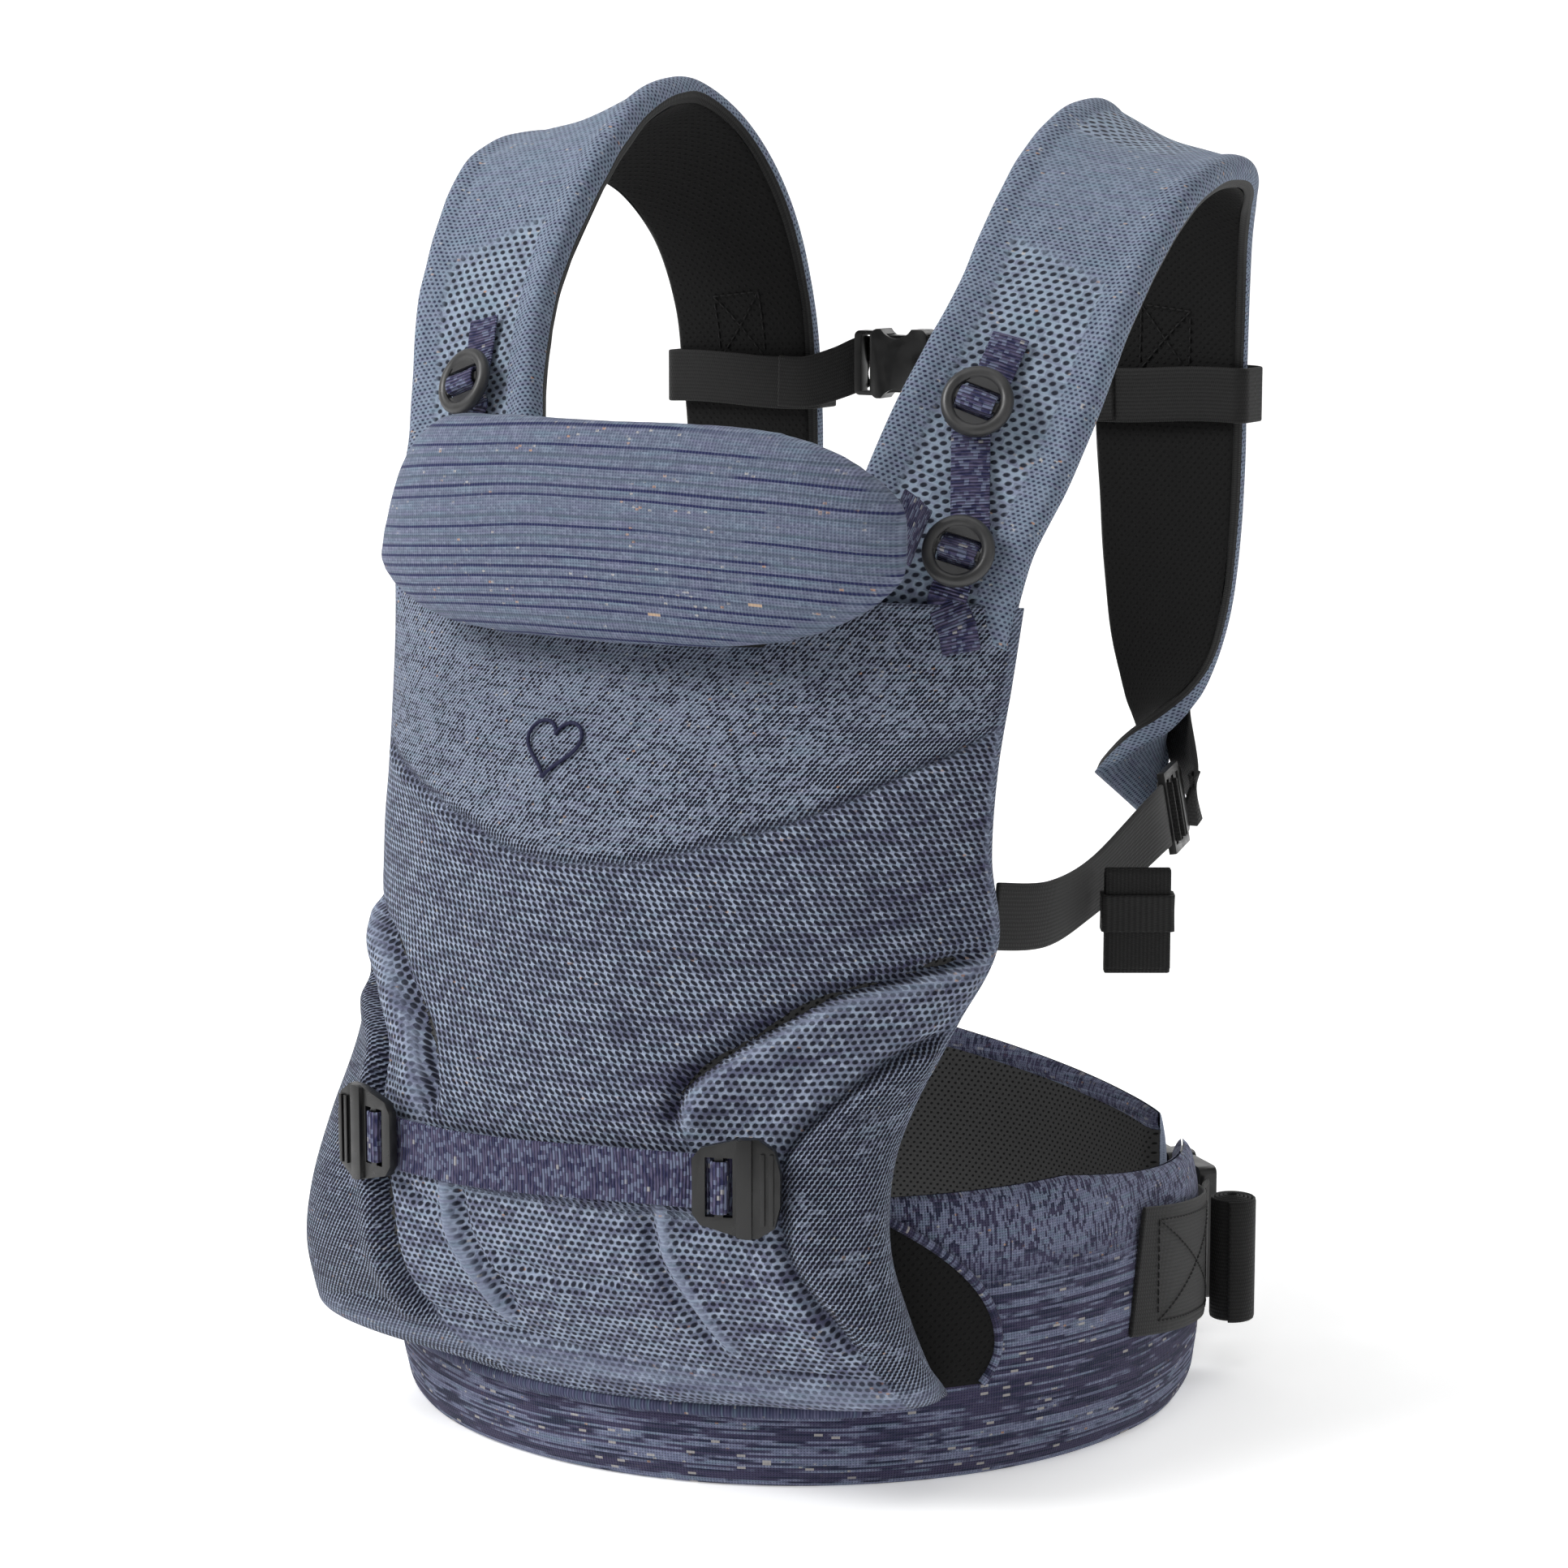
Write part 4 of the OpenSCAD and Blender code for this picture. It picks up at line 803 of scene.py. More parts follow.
def build_panel():
    rows, cols = ((230, 300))
    cloth = PanelCloth(rows, cols)
    smile, fold_r, fold_l, crease_r, crease_l, ridge_l, low_r = (FOLDS[k][0] for k in range(7))
    lift = sum(cloth.fold(f) for f in FOLDS)
    lift += 0.5 * ripple(cloth.base, 34, 3) * smooth(cloth.base[..., 2], 60, 110)
    hem = 1 - smooth(cloth.base[..., 2], 50, 56)
    lift = lift * (1 - hem * 0.8) + 1.4 * hill(cloth.base[..., 2] - 46, 7) * (np.abs(cloth.u) < 0.9)
    lift *= smooth(1 - np.abs(cloth.u), -0.02, 0.05)
    points = cloth.base + cloth.normal * lift[..., None]

    below_smile = 1 - cloth.above(smile, 2.0)
    over_r = np.where(cloth.u > 0.2, cloth.above(fold_r, 1.5), 1)
    over_l = np.where(cloth.u < -0.2, 1 - cloth.above(fold_l, 1.5), 1)
    over = np.minimum(over_r, over_l)
    seat = smooth(cloth.base[..., 2], 108, 116)
    coarse = below_smile * over * seat
    wing_r = np.where(cloth.u > 0.3, 1 - cloth.above(crease_r, 1.5), 0)
    wing_l = np.where(cloth.u < -0.18, cloth.above(crease_l, 1.5), 0)
    wing = np.clip(wing_r + wing_l, 0, 1)
    gusset = np.clip((1 - over) + (1 - seat), 0, 1) * (1 - wing) * below_smile
    plain = 0.9 * cloth.band(ridge_l, -2.0, 2.4) + 0.8 * cloth.band(low_r, -6.0, -1.5)
    plain = plain + 0.35 * (cloth.band(fold_r, -3, 1.0) + cloth.band(fold_l, -1.0, 3))
    plain += 0.45 * hill(cloth.base[..., 2] - 46, 5.5) * (cloth.base[..., 2] < 55)
    plain += smooth(np.abs(cloth.u), 0.975, 0.99) * 0.4
    # Share of navy stitches: more lower down, on the wings, along the hem and at the free edges. The rise
    # towards the right is partly painted shade under the headrest. The extra on the left wing and along the
    # creases and folds is painted shade, laid on as navy.
    navy = 0.13 + 0.16 * smooth(-cloth.base[..., 2], -320, -240) + 0.22 * smooth(cloth.x, 0, 120)
    navy += 0.12 * wing + 0.5 * wing_l + 0.5 * cloth.band(smile, -1.5, 3)
    navy += 0.5 * (cloth.band(fold_r, 3, 9) + cloth.band(fold_l, -9, -3))
    navy += 0.35 * (1 - smooth(cloth.base[..., 2], 44, 60)) + 0.3 * smooth(np.abs(cloth.u), 0.94, 0.98)
    navy += 0.4 * (cloth.band(crease_r, -3, 2) + cloth.band(crease_l, -2, 3))
    weights = dict(
        coarse=np.clip(coarse + gusset, 0, 1),
        holes=gusset,
        plain=np.clip(plain, 0, 1),
        navy=np.clip(navy, 0, 1),
    )

    piece = Piece("panel_knit")
    uv = np.stack([cloth.x, cloth.y], -1)
    piece.grid(points, uv, **weights)
    # Each free edge rolls inwards
    roll_r, turns = 2.3, np.linspace(0, math.pi * 1.15, 9)
    for edge in (0, -1):
        out = np.sign(cloth.u[:, edge])[:, None] * unit(np.gradient(cloth.base, axis=1)[:, edge])
        n = cloth.normal[:, edge]
        turn = np.sin(turns)[None, :, None] * out[:, None] - (1 - np.cos(turns))[None, :, None] * n[:, None]
        curl = points[:, edge][:, None] + turn * roll_r
        aside = np.sign(cloth.u[:, edge])[:, None] * turns * roll_r
        edge_uv = uv[:, edge][:, None] + np.stack([aside, 0 * aside], -1)
        piece.grid(curl, edge_uv, flip=edge == 0, plain=0.4, navy=0.8, coarse=0.0, holes=0.0)
    # The hem turns in onto the belt, and the top edge turns back
    for edge, sign in ((0, -1), (-1, 1)):
        n = cloth.normal[edge]
        turn = np.sin(turns)[:, None, None] * UP * sign - (1 - np.cos(turns))[:, None, None] * n[None]
        curl = points[edge][None] + turn * 1.5
        ahead = sign * turns[:, None].repeat(cols, 1) * 1.5
        edge_uv = uv[edge][None] + np.stack([0 * ahead, ahead], -1)
        piece.grid(curl, edge_uv, flip=edge == 0, plain=0.4, navy=0.8, coarse=0.0, holes=0.0)
    knit = piece.build([PANEL_KNIT])
    replace(knit, "carrier", "knit_blue", "front_panel")

    inner = PanelCloth(90, 120, 0.97, panel_row(58), 0.99)
    lining = Piece("panel_mesh_lining")
    lift = (sum(inner.fold(f) for f in FOLDS) * 0.5)[..., None]
    uv = np.stack([inner.x, inner.y], -1)
    outer_face = inner.base + inner.normal * (np.minimum(lift, 1.5) - PANEL_T - 0.6)
    inner_face = outer_face - inner.normal * 1.3
    lining.grid(outer_face, uv)
    lining.grid(inner_face, uv, flip=True)
    for pick in ((0, slice(None)), (-1, slice(None)), (slice(None), 0), (slice(None), -1)):
        lining.grid(np.stack([outer_face[pick], inner_face[pick]]), np.stack([uv[pick], uv[pick] + 1.3]))
    replace(lining.build([AIR_MESH]), "carrier", "mesh_black", "panel_lining")


def build_hem():
    """Piping that closes the seam between the panel and the belt."""
    low, high = HEM_Z - 6, HEM_Z - 0.4
    first, last, pitch = -128, -52, 1.2
    t = np.linspace(0, math.pi, 9)
    profile = np.stack([0.3 + 2.3 * np.sin(t), (low + high) / 2 - (high - low) / 2 * np.cos(t)], -1)
    turn = np.linspace(first, last, int((last - first) * math.pi / 180 * BELT_R / pitch))[:, None]
    uv = np.stack(np.broadcast_arrays(lengths(profile), np.radians(turn) * BELT_R), -1)
    piece = Piece("seat_hem_piping").grid(by_belt(turn, profile[:, 0], profile[:, 1]), uv)
    replace(piece.build([PLAIN_KNIT]), "carrier", "knit_hem", "seat_hem")


# ---- Waist belt ----

BELT_T = 14
BELT_H = 109
BELT_FRONT_END = 29
BELT_BACK_END = 45
BELT_DROP_AT = 84
BELT_DROP = math.tan(math.radians(12))
CLOSURE = (BELT_FRONT_END + BELT_BACK_END) / 2
BELT_MID_R = BELT_R - BELT_T / 2


def by_belt(degrees, out, z):
    """Places round the belt, out from its cover and at a height."""
    turn, r = np.radians(degrees), BELT_R + np.asarray(out, float)
    return np.stack(np.broadcast_arrays(r * np.cos(turn), r * np.sin(turn), z), -1)


def belt_top(turn):
    """Height of the belt's upper edge, which dips towards the closure."""
    reach = BELT_MID_R * np.cos(turn - math.radians(CLOSURE))
    return BELT_H - 0.4 - BELT_DROP * np.maximum(reach - BELT_DROP_AT, 0)


def build_belt():
    start, stop = math.radians(BELT_BACK_END), math.radians(360 + BELT_FRONT_END)
    pitch = 1.7
    turn = np.linspace(start, stop, int((stop - start) * BELT_R / pitch))
    top = belt_top(turn)[:, None]
    end_gap = np.minimum(turn - start, stop - turn)[:, None] * BELT_R
    ends = np.sqrt(np.clip(1 - (1 - np.clip(end_gap / 9, 0, 1)) ** 2, 0.0004, 1))
    share = 0.5 - 0.5 * np.cos(np.linspace(0, math.pi, 70))
    share = 0.45 * share + 0.55 * np.linspace(0, 1, 70)
    body = np.sqrt(np.clip(1 - np.abs(2 * share - 1) ** 8, 0, 1))[None, :]
    puff = 0.6 + 0.4 * np.sin(np.pi * share)[None, :]
    outline = np.array([np.cos(turn), np.sin(turn), 0 * turn]).T

    def face(sign, sag):
        half = (BELT_T / 2 * body * puff / puff.max() + sag) * ends
        z = share[None, :] * top
        r = BELT_MID_R + sign * half
        points = outline[:, None] * r[..., None]
        points[..., 2] = z
        return points

    plain = np.zeros((len(turn), len(share)))
    first = face(1, plain)
    ruck = 0.35 * ripple(first * [1, 1, 2.2], 46, 5) * body
    outer = face(1, ruck)
    inner = face(-1, 0.3 * ripple(first, 60, 9) * body)
    round_mm = np.broadcast_to((turn * BELT_R)[:, None], plain.shape)
    up_mm = share[None, :] * top
    uv_out = np.stack([round_mm, up_mm], -1)
    low = 1 - smooth(up_mm, 30, 62)
    high = smooth(up_mm, 66, 90)
    end = 1 - smooth(end_gap + 0 * up_mm, 7, 8.5)
    piece = Piece("waist_belt_padding")
    piece.grid(outer, uv_out, 0, flip=False, low=low, high=high, end=end)
    # The cover comes over the top edge by a few millimetres, and meets the mesh in a groove
    over = 7.5
    seam = smooth(up_mm, top - over - 1.6, top - over + 1.6)
    groove = hill(up_mm - (top - over), 1.2)
    inner_dir = -outline[:, None]
    inner = inner + inner_dir * (seam * 0.9 - groove * 1.1)[..., None]
    wrap_cols = int((share > 1 - over / BELT_H).sum()) + 1
    cut = len(share) - wrap_cols
    uv_in = np.stack([round_mm, 2 * BELT_H - up_mm], -1)
    piece.grid(inner[:, cut:], uv_in[:, cut:], 0, flip=True, low=0.0, high=0.6)
    piece.grid(inner[:, : cut + 1], uv_in[:, : cut + 1], 1, flip=True)
    belt = piece.build([BELT_KNIT, AIR_MESH])
    replace(belt, "carrier", "knit_navy", "waist_belt_cover", "waist_belt_foam", "waist_belt_lining")


def build_gussets():
    """Black mesh inset behind the lower edge of each leg opening, inside a thin ribbed binding."""
    z = np.linspace(37, 103, 60)
    edge = -33 - np.where(z > 52, 0.00625, 0.0113) * (z - 52) ** 2
    back = np.full(z.shape, -78.0)
    for side, sign in SIDES.items():
        share = np.linspace(0, 1, 70)
        a = np.radians(back[:, None] * (1 - share) + edge[:, None] * share)
        bulge = np.sin(np.pi * share)[None, :] * np.sin(np.pi * np.linspace(0, 1, 60))[:, None]
        r = BELT_R + 0.35 + 0.5 * bulge
        points = np.stack([sign * r * np.cos(a), r * np.sin(a), z[:, None] + 0 * a], -1)
        piece = Piece(f"leg_gusset_mesh_{side}")
        piece.grid(points, np.stack([a * BELT_R, z[:, None] + 0 * a], -1), 0, flip=sign < 0)
        line = points[:, -1]
        out = unit(line * [1, 1, 0])
        run = unit(np.gradient(line, axis=0))
        across = np.cross(run, out)
        t = np.linspace(0, math.pi, 8)
        aside, ahead = np.cos(t)[None, :, None] * across[:, None], np.sin(t)[None, :, None] * out[:, None]
        ring = line[:, None] + (aside * 1.8 + ahead * 1.5)
        piece.grid(ring, None, 1, flip=sign < 0)
        # The mesh is the darker copy of the black mesh, painted shade in the hollow of the leg opening
        made = piece.build([SHADED_BLACK_MESH, BELT_KNIT])
        replace(made, "carrier", "mesh_black", f"leg_gusset_{side}")


# ---- Shoulder straps ----

# Inner and outer edges of the right strap, from the panel up and over to the back
STRAP_INNER = [
    [62, -101, 318], [70, -87, 350], [76, -74, 376], [83, -57, 405], [88, -37, 432],
    [88, -11, 459], [88, 16, 482], [88, 46, 497], [88, 76, 501], [82, 101, 487],
    [73, 118, 460], [68, 128, 425], [66, 131, 385], [67, 134, 345], [69, 136, 310],
    [73, 136, 283], [80, 138, 264], [91, 138, 247], [98, 128, 232], [99, 117, 221],
]
STRAP_OUTER = [
    [134, -80, 318], [138, -68, 350], [144, -51, 376], [151, -39, 402], [156, -28, 426],
    [160, -8, 451], [162, 14, 468], [161, 44, 476], [157, 74, 475], [147, 99, 467],
    [138, 117, 447], [133, 127, 418], [131, 131, 385], [129, 134, 345], [125, 136, 310],
    [119, 136, 283], [112, 127, 265], [102, 114, 251], [90, 103, 241], [82, 95, 231],
]
STRAP_OUT = 5.5


class Strap:
    """One shoulder strap's run: s along it, v across it and h above its middle surface, in millimetres."""

    def __init__(self, side):
        self.sign = SIDES[side]
        self.table_s = np.linspace(0, 1, 801)
        a, b = along(STRAP_INNER, self.table_s), along(STRAP_OUTER, self.table_s)
        self.table_mid = (a + b) / 2

    def frame(self, s, step=0.002):
        s = np.asarray(s, float)
        inner, outer = along(STRAP_INNER, s), along(STRAP_OUTER, s)

        def mid(at):
            return (along(STRAP_INNER, at) + along(STRAP_OUTER, at)) / 2

        run = unit(mid(np.minimum(s + step, 1)) - mid(np.maximum(s - step, 0)))
        wide = outer - inner
        across = unit(wide - run * dot(wide, run))
        return mid(s), across, np.cross(across, run), np.linalg.norm(wide, axis=-1) / 2

    def place(self, points):
        """Mirrors points to this strap's side; the left one stands a little taller."""
        points = np.array(points, float)
        if self.sign < 0:
            points[..., 0] *= -1
            lift = smooth(points[..., 2], 400, 500)
            points[..., 1] -= 4 * lift
            points[..., 2] += 9 * lift
        return points

    def point(self, s, v, h):
        mid, across, normal, _ = self.frame(s)
        return mid + across * np.asarray(v, float)[..., None] + normal * np.asarray(h, float)[..., None]

    def row(self, z):
        """Share of its length, on its front part, where its middle is at the height z."""
        front = self.table_s <= 0.35
        return float(np.interp(z, self.table_mid[front][:, 2], self.table_s[front]))


# Across the top of a strap: place as a share of the half width, and height
STRAP_TOP = [
    (-0.94, -5.3), (-0.985, -3.6), (-1.01, -0.6), (-1.0, 2.6), (-0.965, 5.0), (-0.9, 6.4), (-0.82, 6.5),
    (-0.75, 5.9), (-0.69, 5.2), (-0.6, 4.9), (-0.3, 4.9), (0, 4.9), (0.3, 4.9), (0.6, 4.9), (0.69, 5.2),
    (0.75, 5.9), (0.82, 6.5), (0.9, 6.4), (0.965, 5.0), (1.0, 2.6), (1.01, -0.6), (0.985, -3.6), (0.94, -5.3),
]
STRAP_UNDER = [(0.94, -5.3), (0.9, -6.0), (0.8, -6.1), (0.4, -5.7), (0, -5.6), (-0.4, -5.7), (-0.8, -6.1),
               (-0.9, -6.0), (-0.94, -5.3)]


def build_strap(side):
    strap = Strap(side)
    count = 340
    s = np.linspace(0.001, 0.999, count)
    mid, across, normal, half = strap.frame(s)
    run_mm = lengths(mid)
    thin = 0.35 + 0.65 * smooth(s, -0.004, 0.03) * (1 - smooth(s, 0.97, 1.0))

    def skin(profile, samples, dents=None):
        line = along(profile, np.linspace(0, 1, samples))
        v = line[None, :, 0] * half[:, None]
        h = line[None, :, 1] * thin[:, None]
        if dents is not None:
            h = h + dents(line[None, :, 0] + 0 * v, s[:, None] + 0 * v)
        points = mid[:, None] + across[:, None] * v[..., None] + normal[:, None] * h[..., None]
        girth = lengths(line * [32, 1])
        uv = np.stack(np.broadcast_arrays(girth[None, :], run_mm[:, None]), -1)
        return points, uv, line[None, :, 0] + 0 * v, s[:, None] + 0 * v

    def recess(v, at):
        front = 1 - smooth(at, 0.236 - 0.018 * v, 0.244 - 0.018 * v)
        back = smooth(at, 0.5, 0.508) * (1 - smooth(at, 0.8, 0.808))
        return (front + back) * (1 - smooth(np.abs(v), 0.56, 0.64))

    def dents(v, at):
        dip = -2.6 * hill(at - 0.42, 0.1) * hill(v, 0.55)
        face = smooth(np.cos(np.pi * np.clip(v, -1, 1) / 2), 0.02, 0.1)
        return -1.5 * recess(v, at) + dip + 0.35 * np.sin(at * 60 + v * 2) * face

    top, uv, v, at = skin(STRAP_TOP, 78, dents)
    top = top + normal[:, None] * (0.3 * ripple(top, 30, 11))[..., None]
    zone = recess(v, at)
    cluster = hill((at - 0.39) / 1, 0.045) * (1 - smooth(np.abs(v + 0.1), 0.5, 0.62))
    open_zone = np.clip(zone + smooth(cluster, 0.35, 0.6), 0, 1)
    smooth_top = smooth(at, 0.24, 0.3) * (1 - smooth(at, 0.44, 0.52)) * (1 - smooth(np.abs(v), 0.6, 0.8))
    piece = Piece(f"strap_padding_{side}")
    top = strap.place(top)
    # The black binding shows as a thin line along each lower edge
    binding = 6
    left = strap.sign < 0
    weights = dict(open=open_zone, pins=1 - 0.75 * smooth_top, navy=0.02 + 0.08 * (1 - smooth_top))
    cut = slice(binding, len(top[0]) - binding)
    piece.grid(top[:, cut], uv[:, cut], 0, flip=not left, **{k: w[:, cut] for k, w in weights.items()})
    piece.grid(top[:, : binding + 1], uv[:, : binding + 1], 2, flip=not left)
    piece.grid(top[:, -binding - 1 :], uv[:, -binding - 1 :], 2, flip=not left)
    under, uv_under, _, _ = skin(STRAP_UNDER, 40)
    under = strap.place(under)
    # The lining is the darker copy of the black mesh, painted shade under the strap
    piece.grid(under, uv_under, 1, flip=not left)
    for end in (0, -1):
        upper = top[end]
        lower = under[end][::-1]
        pick = np.linspace(0, len(upper) - 1, len(lower)).round().astype(int)
        piece.grid(np.stack([upper[pick], lower]), None, 0, flip=(end == 0) == left)
    # Webbing sewn on behind shows as a stitched box on the lining
    per_mm = 1 / run_mm[-1]
    box_start, box_half = 0.575 / per_mm, 11

    def on_lining(x, y, lift):
        return strap.place(strap.point(x * per_mm, y, -5.8 - lift))

    sew_box(piece, on_lining, box_start, box_start + 2 * box_half, box_half, 3)
    built = piece.build([STRAP_KNIT, SHADED_BLACK_MESH, ELASTIC, THREAD])
    nodes = [f"strap_{layer}_{side}" for layer in ("cover", "foam", "lining")]
    replace(built, "carrier", "knit_blue", *nodes)
    return strap


# ---- Ring buttons and the band that they ride on ----

RING_Z = [390.5, 343.5]
RING_V = [-5, 12]
RING_LIFT = STRAP_OUT + 7
RING_D = 27
RING_RIM_T = 5
WINDOW = (15.6, 10.8)
BAND_W = 14.5
BAND_RISE = [(11, 0.8), (7.6, 1.4), (5, 3.2), (3.9, 5.2), (3.5, 7.2), (2.9, 9.6), (0, 10.4)]
BAND_ABOVE_RING = 30


def build_ring(strap, side, level, name):
    s = strap.row(RING_Z[level])
    mid, across, normal, _ = strap.frame(s)
    centre = mid + across * RING_V[level] + normal * RING_LIFT
    up = np.cross(normal, across)
    rim = RING_RIM_T / 2
    mid_r = RING_D / 2 - rim
    turn = np.linspace(0, 2 * np.pi, 96, endpoint=False)
    circle = np.stack([np.cos(turn), np.sin(turn)], -1)
    web, edge = 1.2, 0.35
    loops = []
    # Round the rim from the web's upper side over the top, outside and back to its lower side
    for t in np.radians(np.linspace(152, -152, 26)):
        loops.append(np.column_stack([circle * (mid_r + rim * math.cos(t)), np.full(96, rim * math.sin(t))]))
    window = round_box_loop(*WINDOW, 1.6, 96)
    grown = round_box_loop(WINDOW[0] + 2 * edge, WINDOW[1] + 2 * edge, 1.9, 96)
    loops += [
        np.column_stack([grown, np.full(96, -web)]),
        np.column_stack([window, np.full(96, -web + edge)]),
        np.column_stack([window, np.full(96, web - edge)]),
        np.column_stack([grown, np.full(96, web)]),
        loops[0],
    ]
    loops = np.array(loops)

    def place(local):
        return strap.place(centre + local[..., :1] * across + local[..., 1:2] * up + local[..., 2:] * normal)

    piece = Piece(name)
    loft(piece, place(loops), flip=strap.sign < 0)
    # The bar that the band goes over
    x = np.array([-1, -0.96, 0.96, 1]) * (WINDOW[0] / 2 + 0.5)
    bar = round_box_loop(4, 3, 1.1, 24)
    loft(piece, place(np.array([np.column_stack([np.full(24, at), bar]) for at in x])), flip=strap.sign < 0)
    ring = piece.build([RING_PLASTIC])
    node = f"ring_button_{name.split('_')[0]}_{side}"
    replace(ring, f"button_{name.split('_')[0]}_{side}", "plastic_grey", node)


def build_band(strap, side):
    """The melange band, woven through both ring buttons and sewn down at its ends."""
    rows = [strap.row(z) for z in RING_Z]
    mids = [strap.frame(r)[0] for r in rows]
    pitch = float(np.linalg.norm(mids[0] - mids[1]))
    s_per_mm = (rows[0] - rows[1]) / pitch
    hump = [(-d, h) for d, h in BAND_RISE] + [(d, h) for d, h in BAND_RISE[-2::-1]]
    route = [(0.0, 0.3), (0.006, 0.9)]
    for ring in (1, 0):
        ends = [strap.point(rows[ring] + step, RING_V[ring], RING_LIFT) for step in (-0.01, 0.01)]
        scale = 0.02 / float(np.linalg.norm(ends[1] - ends[0]))
        route += [(rows[ring] + d * scale, h) for d, h in hump]
    route.append((rows[0] + BAND_ABOVE_RING * s_per_mm, 0.6))
    route = respace(np.array(route) / [s_per_mm, 1], 0.8)
    s, rise = route[:, 0] * s_per_mm, route[:, 1]
    drift_at = np.clip(((s - rows[1]) / s_per_mm - 8) / (pitch - 16), 0, 1)
    drift = RING_V[1] * (1 - drift_at) + RING_V[0] * drift_at
    centres = strap.place(strap.point(s, drift, STRAP_OUT + rise - 0.4))
    _, across, _, _ = strap.frame(s)
    across = across * [strap.sign, 1, 1]
    if side == "right":
        # Its lower end is sewn to the panel's corner
        rows_at = panel_row(np.array([308.0, 312.0, 316.0]))
        cols_at = np.array([0.83, 0.82, 0.81])
        foot = panel_at(cols_at, rows_at) + panel_normal(cols_at, rows_at) * 2.0
        first = int(np.argmax(centres[:, 2] > 326))
        joined = np.concatenate([foot, centres[first:first + 40:8], centres[first + 40:]])
        centres = respace(joined, 0.8, smoothing=False)
        new, old = np.linspace(0, 1, len(centres)), np.linspace(0, 1, len(across))
        across = unit(np.stack([np.interp(new, old, across[:, k]) for k in range(3)], -1))
    piece = Piece(f"button_band_knit_{side}")
    ribbon(piece, centres, across, BAND_W, 1.0, crown=0.35)
    replace(piece.build([BAND_KNIT]), "carrier", "melange_band", f"button_band_{side}")


# ---- Headrest ----

# Its top is a little above the CAD's, as in the photo
PILLOW_LOW, PILLOW_HIGH = 303, 393.5
PILLOW_Y, PILLOW_CURL = -131, 15
PILLOW_HALF_W, PILLOW_T = 114, 36


def pillow_grid(rows, cols, inset):
    """Front and back faces of the pillow's outline, lens-shaped and curved round the child's head."""
    w = 0.5 - 0.5 * np.cos(np.linspace(0, np.pi, rows))[:, None]
    q = np.sin(np.linspace(-np.pi / 2, np.pi / 2, cols))[None, :]
    low = PILLOW_LOW + 3 + inset + 24 * np.abs(q) ** 5 + 5 * smooth(q, 0.3, 1)
    high = PILLOW_HIGH - inset - np.where(q < 0, 24 * np.abs(q) ** 7, 30 * np.abs(q) ** 4)
    round_w = np.sqrt(np.clip(1 - np.abs(2 * w - 1) ** 2.4, 0, 1))
    round_q = np.sqrt(np.clip(1 - np.abs(q) ** 6, 0, 1))
    half = (PILLOW_T / 2 - inset) * round_w * round_q
    x = q * (PILLOW_HALF_W - inset) + 12 * smooth(-q, 0.5, 1) * (w - 0.3) - 2
    y = PILLOW_Y + PILLOW_CURL * q * q + 0 * w
    z = low * (1 - w) + high * w
    faces = []
    for face in (1, -1):
        faces.append(np.stack([x, y - face * half, z], -1))
    return faces


def inflate(thing, pressure, voxel, cap, frames=20):
    """Blows a closed cloth up a little, so it crowns and puckers as a stuffed cover does."""
    bpy.context.view_layer.objects.active = thing
    remesh = thing.modifiers.new("even", "REMESH")
    remesh.mode = "VOXEL"
    remesh.voxel_size = voxel * MM
    bpy.ops.object.modifier_apply(modifier=remesh.name)
    before = np.array([v.co for v in thing.data.vertices])
    sim = thing.modifiers.new("cloth", "CLOTH")
    sim.settings.use_pressure = True
    sim.settings.uniform_pressure_force = pressure
    sim.settings.effector_weights.gravity = 0
    sim.settings.quality = 6
    sim.settings.mass = 0.3
    sim.settings.tension_stiffness = 18
    sim.settings.compression_stiffness = 18
    sim.settings.bending_stiffness = 0.6
    sim.point_cache.frame_start = 1
    sim.point_cache.frame_end = frames
    scene = bpy.context.scene
    for k in range(1, frames + 1):
        scene.frame_set(k)
    bpy.ops.object.modifier_apply(modifier=sim.name)
    scene.frame_set(1)
    after = np.array([v.co for v in thing.data.vertices])
    move = after - before
    far = np.linalg.norm(move, axis=1, keepdims=True)
    after = before + move * np.minimum(1, cap * MM / np.maximum(far, 1e-9))
    thing.data.vertices.foreach_set("co", after.ravel())
    rounded = thing.modifiers.new("round", "SUBSURF")
    rounded.levels = 1
    bpy.ops.object.modifier_apply(modifier=rounded.name)
    thing.data.polygons.foreach_set("use_smooth", [True] * len(thing.data.polygons))


def build_pillow():
    piece = Piece("headrest_pillow")
    front, back = pillow_grid(44, 110, 1.2)
    piece.grid(front, None, 0)
    piece.grid(back, None, 0, flip=True)
    pillow = piece.build([PILLOW_KNIT])
    bpy.context.view_layer.objects.active = pillow
    inflate(pillow, 4.0, 4.0, 7.0)
    replace(pillow, "headrest", "knit_blue", "headrest_cover", "headrest_foam")


def build_tab(strap, side):
    """Elastic tab from the pillow's corner to the lower ring button."""
    s = strap.row(RING_Z[1])
    mid, across, normal, _ = strap.frame(s)
    reach = RING_D / 2 + 1.5
    end = mid + across * (RING_V[1] - reach) + normal * (STRAP_OUT + 7.2)
    start = np.array([102.6, -131 + 12.2 + 8, 358.0])
    keys = [start, (start + end) / 2 + [1, 0, 0], end]
    centres = strap.place(respace(keys, 1.0))
    widths = np.cross(normal, across) * [strap.sign, 1, 1]
    piece = Piece(f"headrest_tab_knit_{side}")
    ribbon(piece, centres, widths, 22, 1.2, crown=0.3)
    replace(piece.build([BAND_KNIT]), "headrest", "melange_band", f"headrest_tab_{side}")


# ---- Seat band and its sliders ----

BAND_Z = 124
SLIDER_X = 78
SEAT_BAND_W = 20


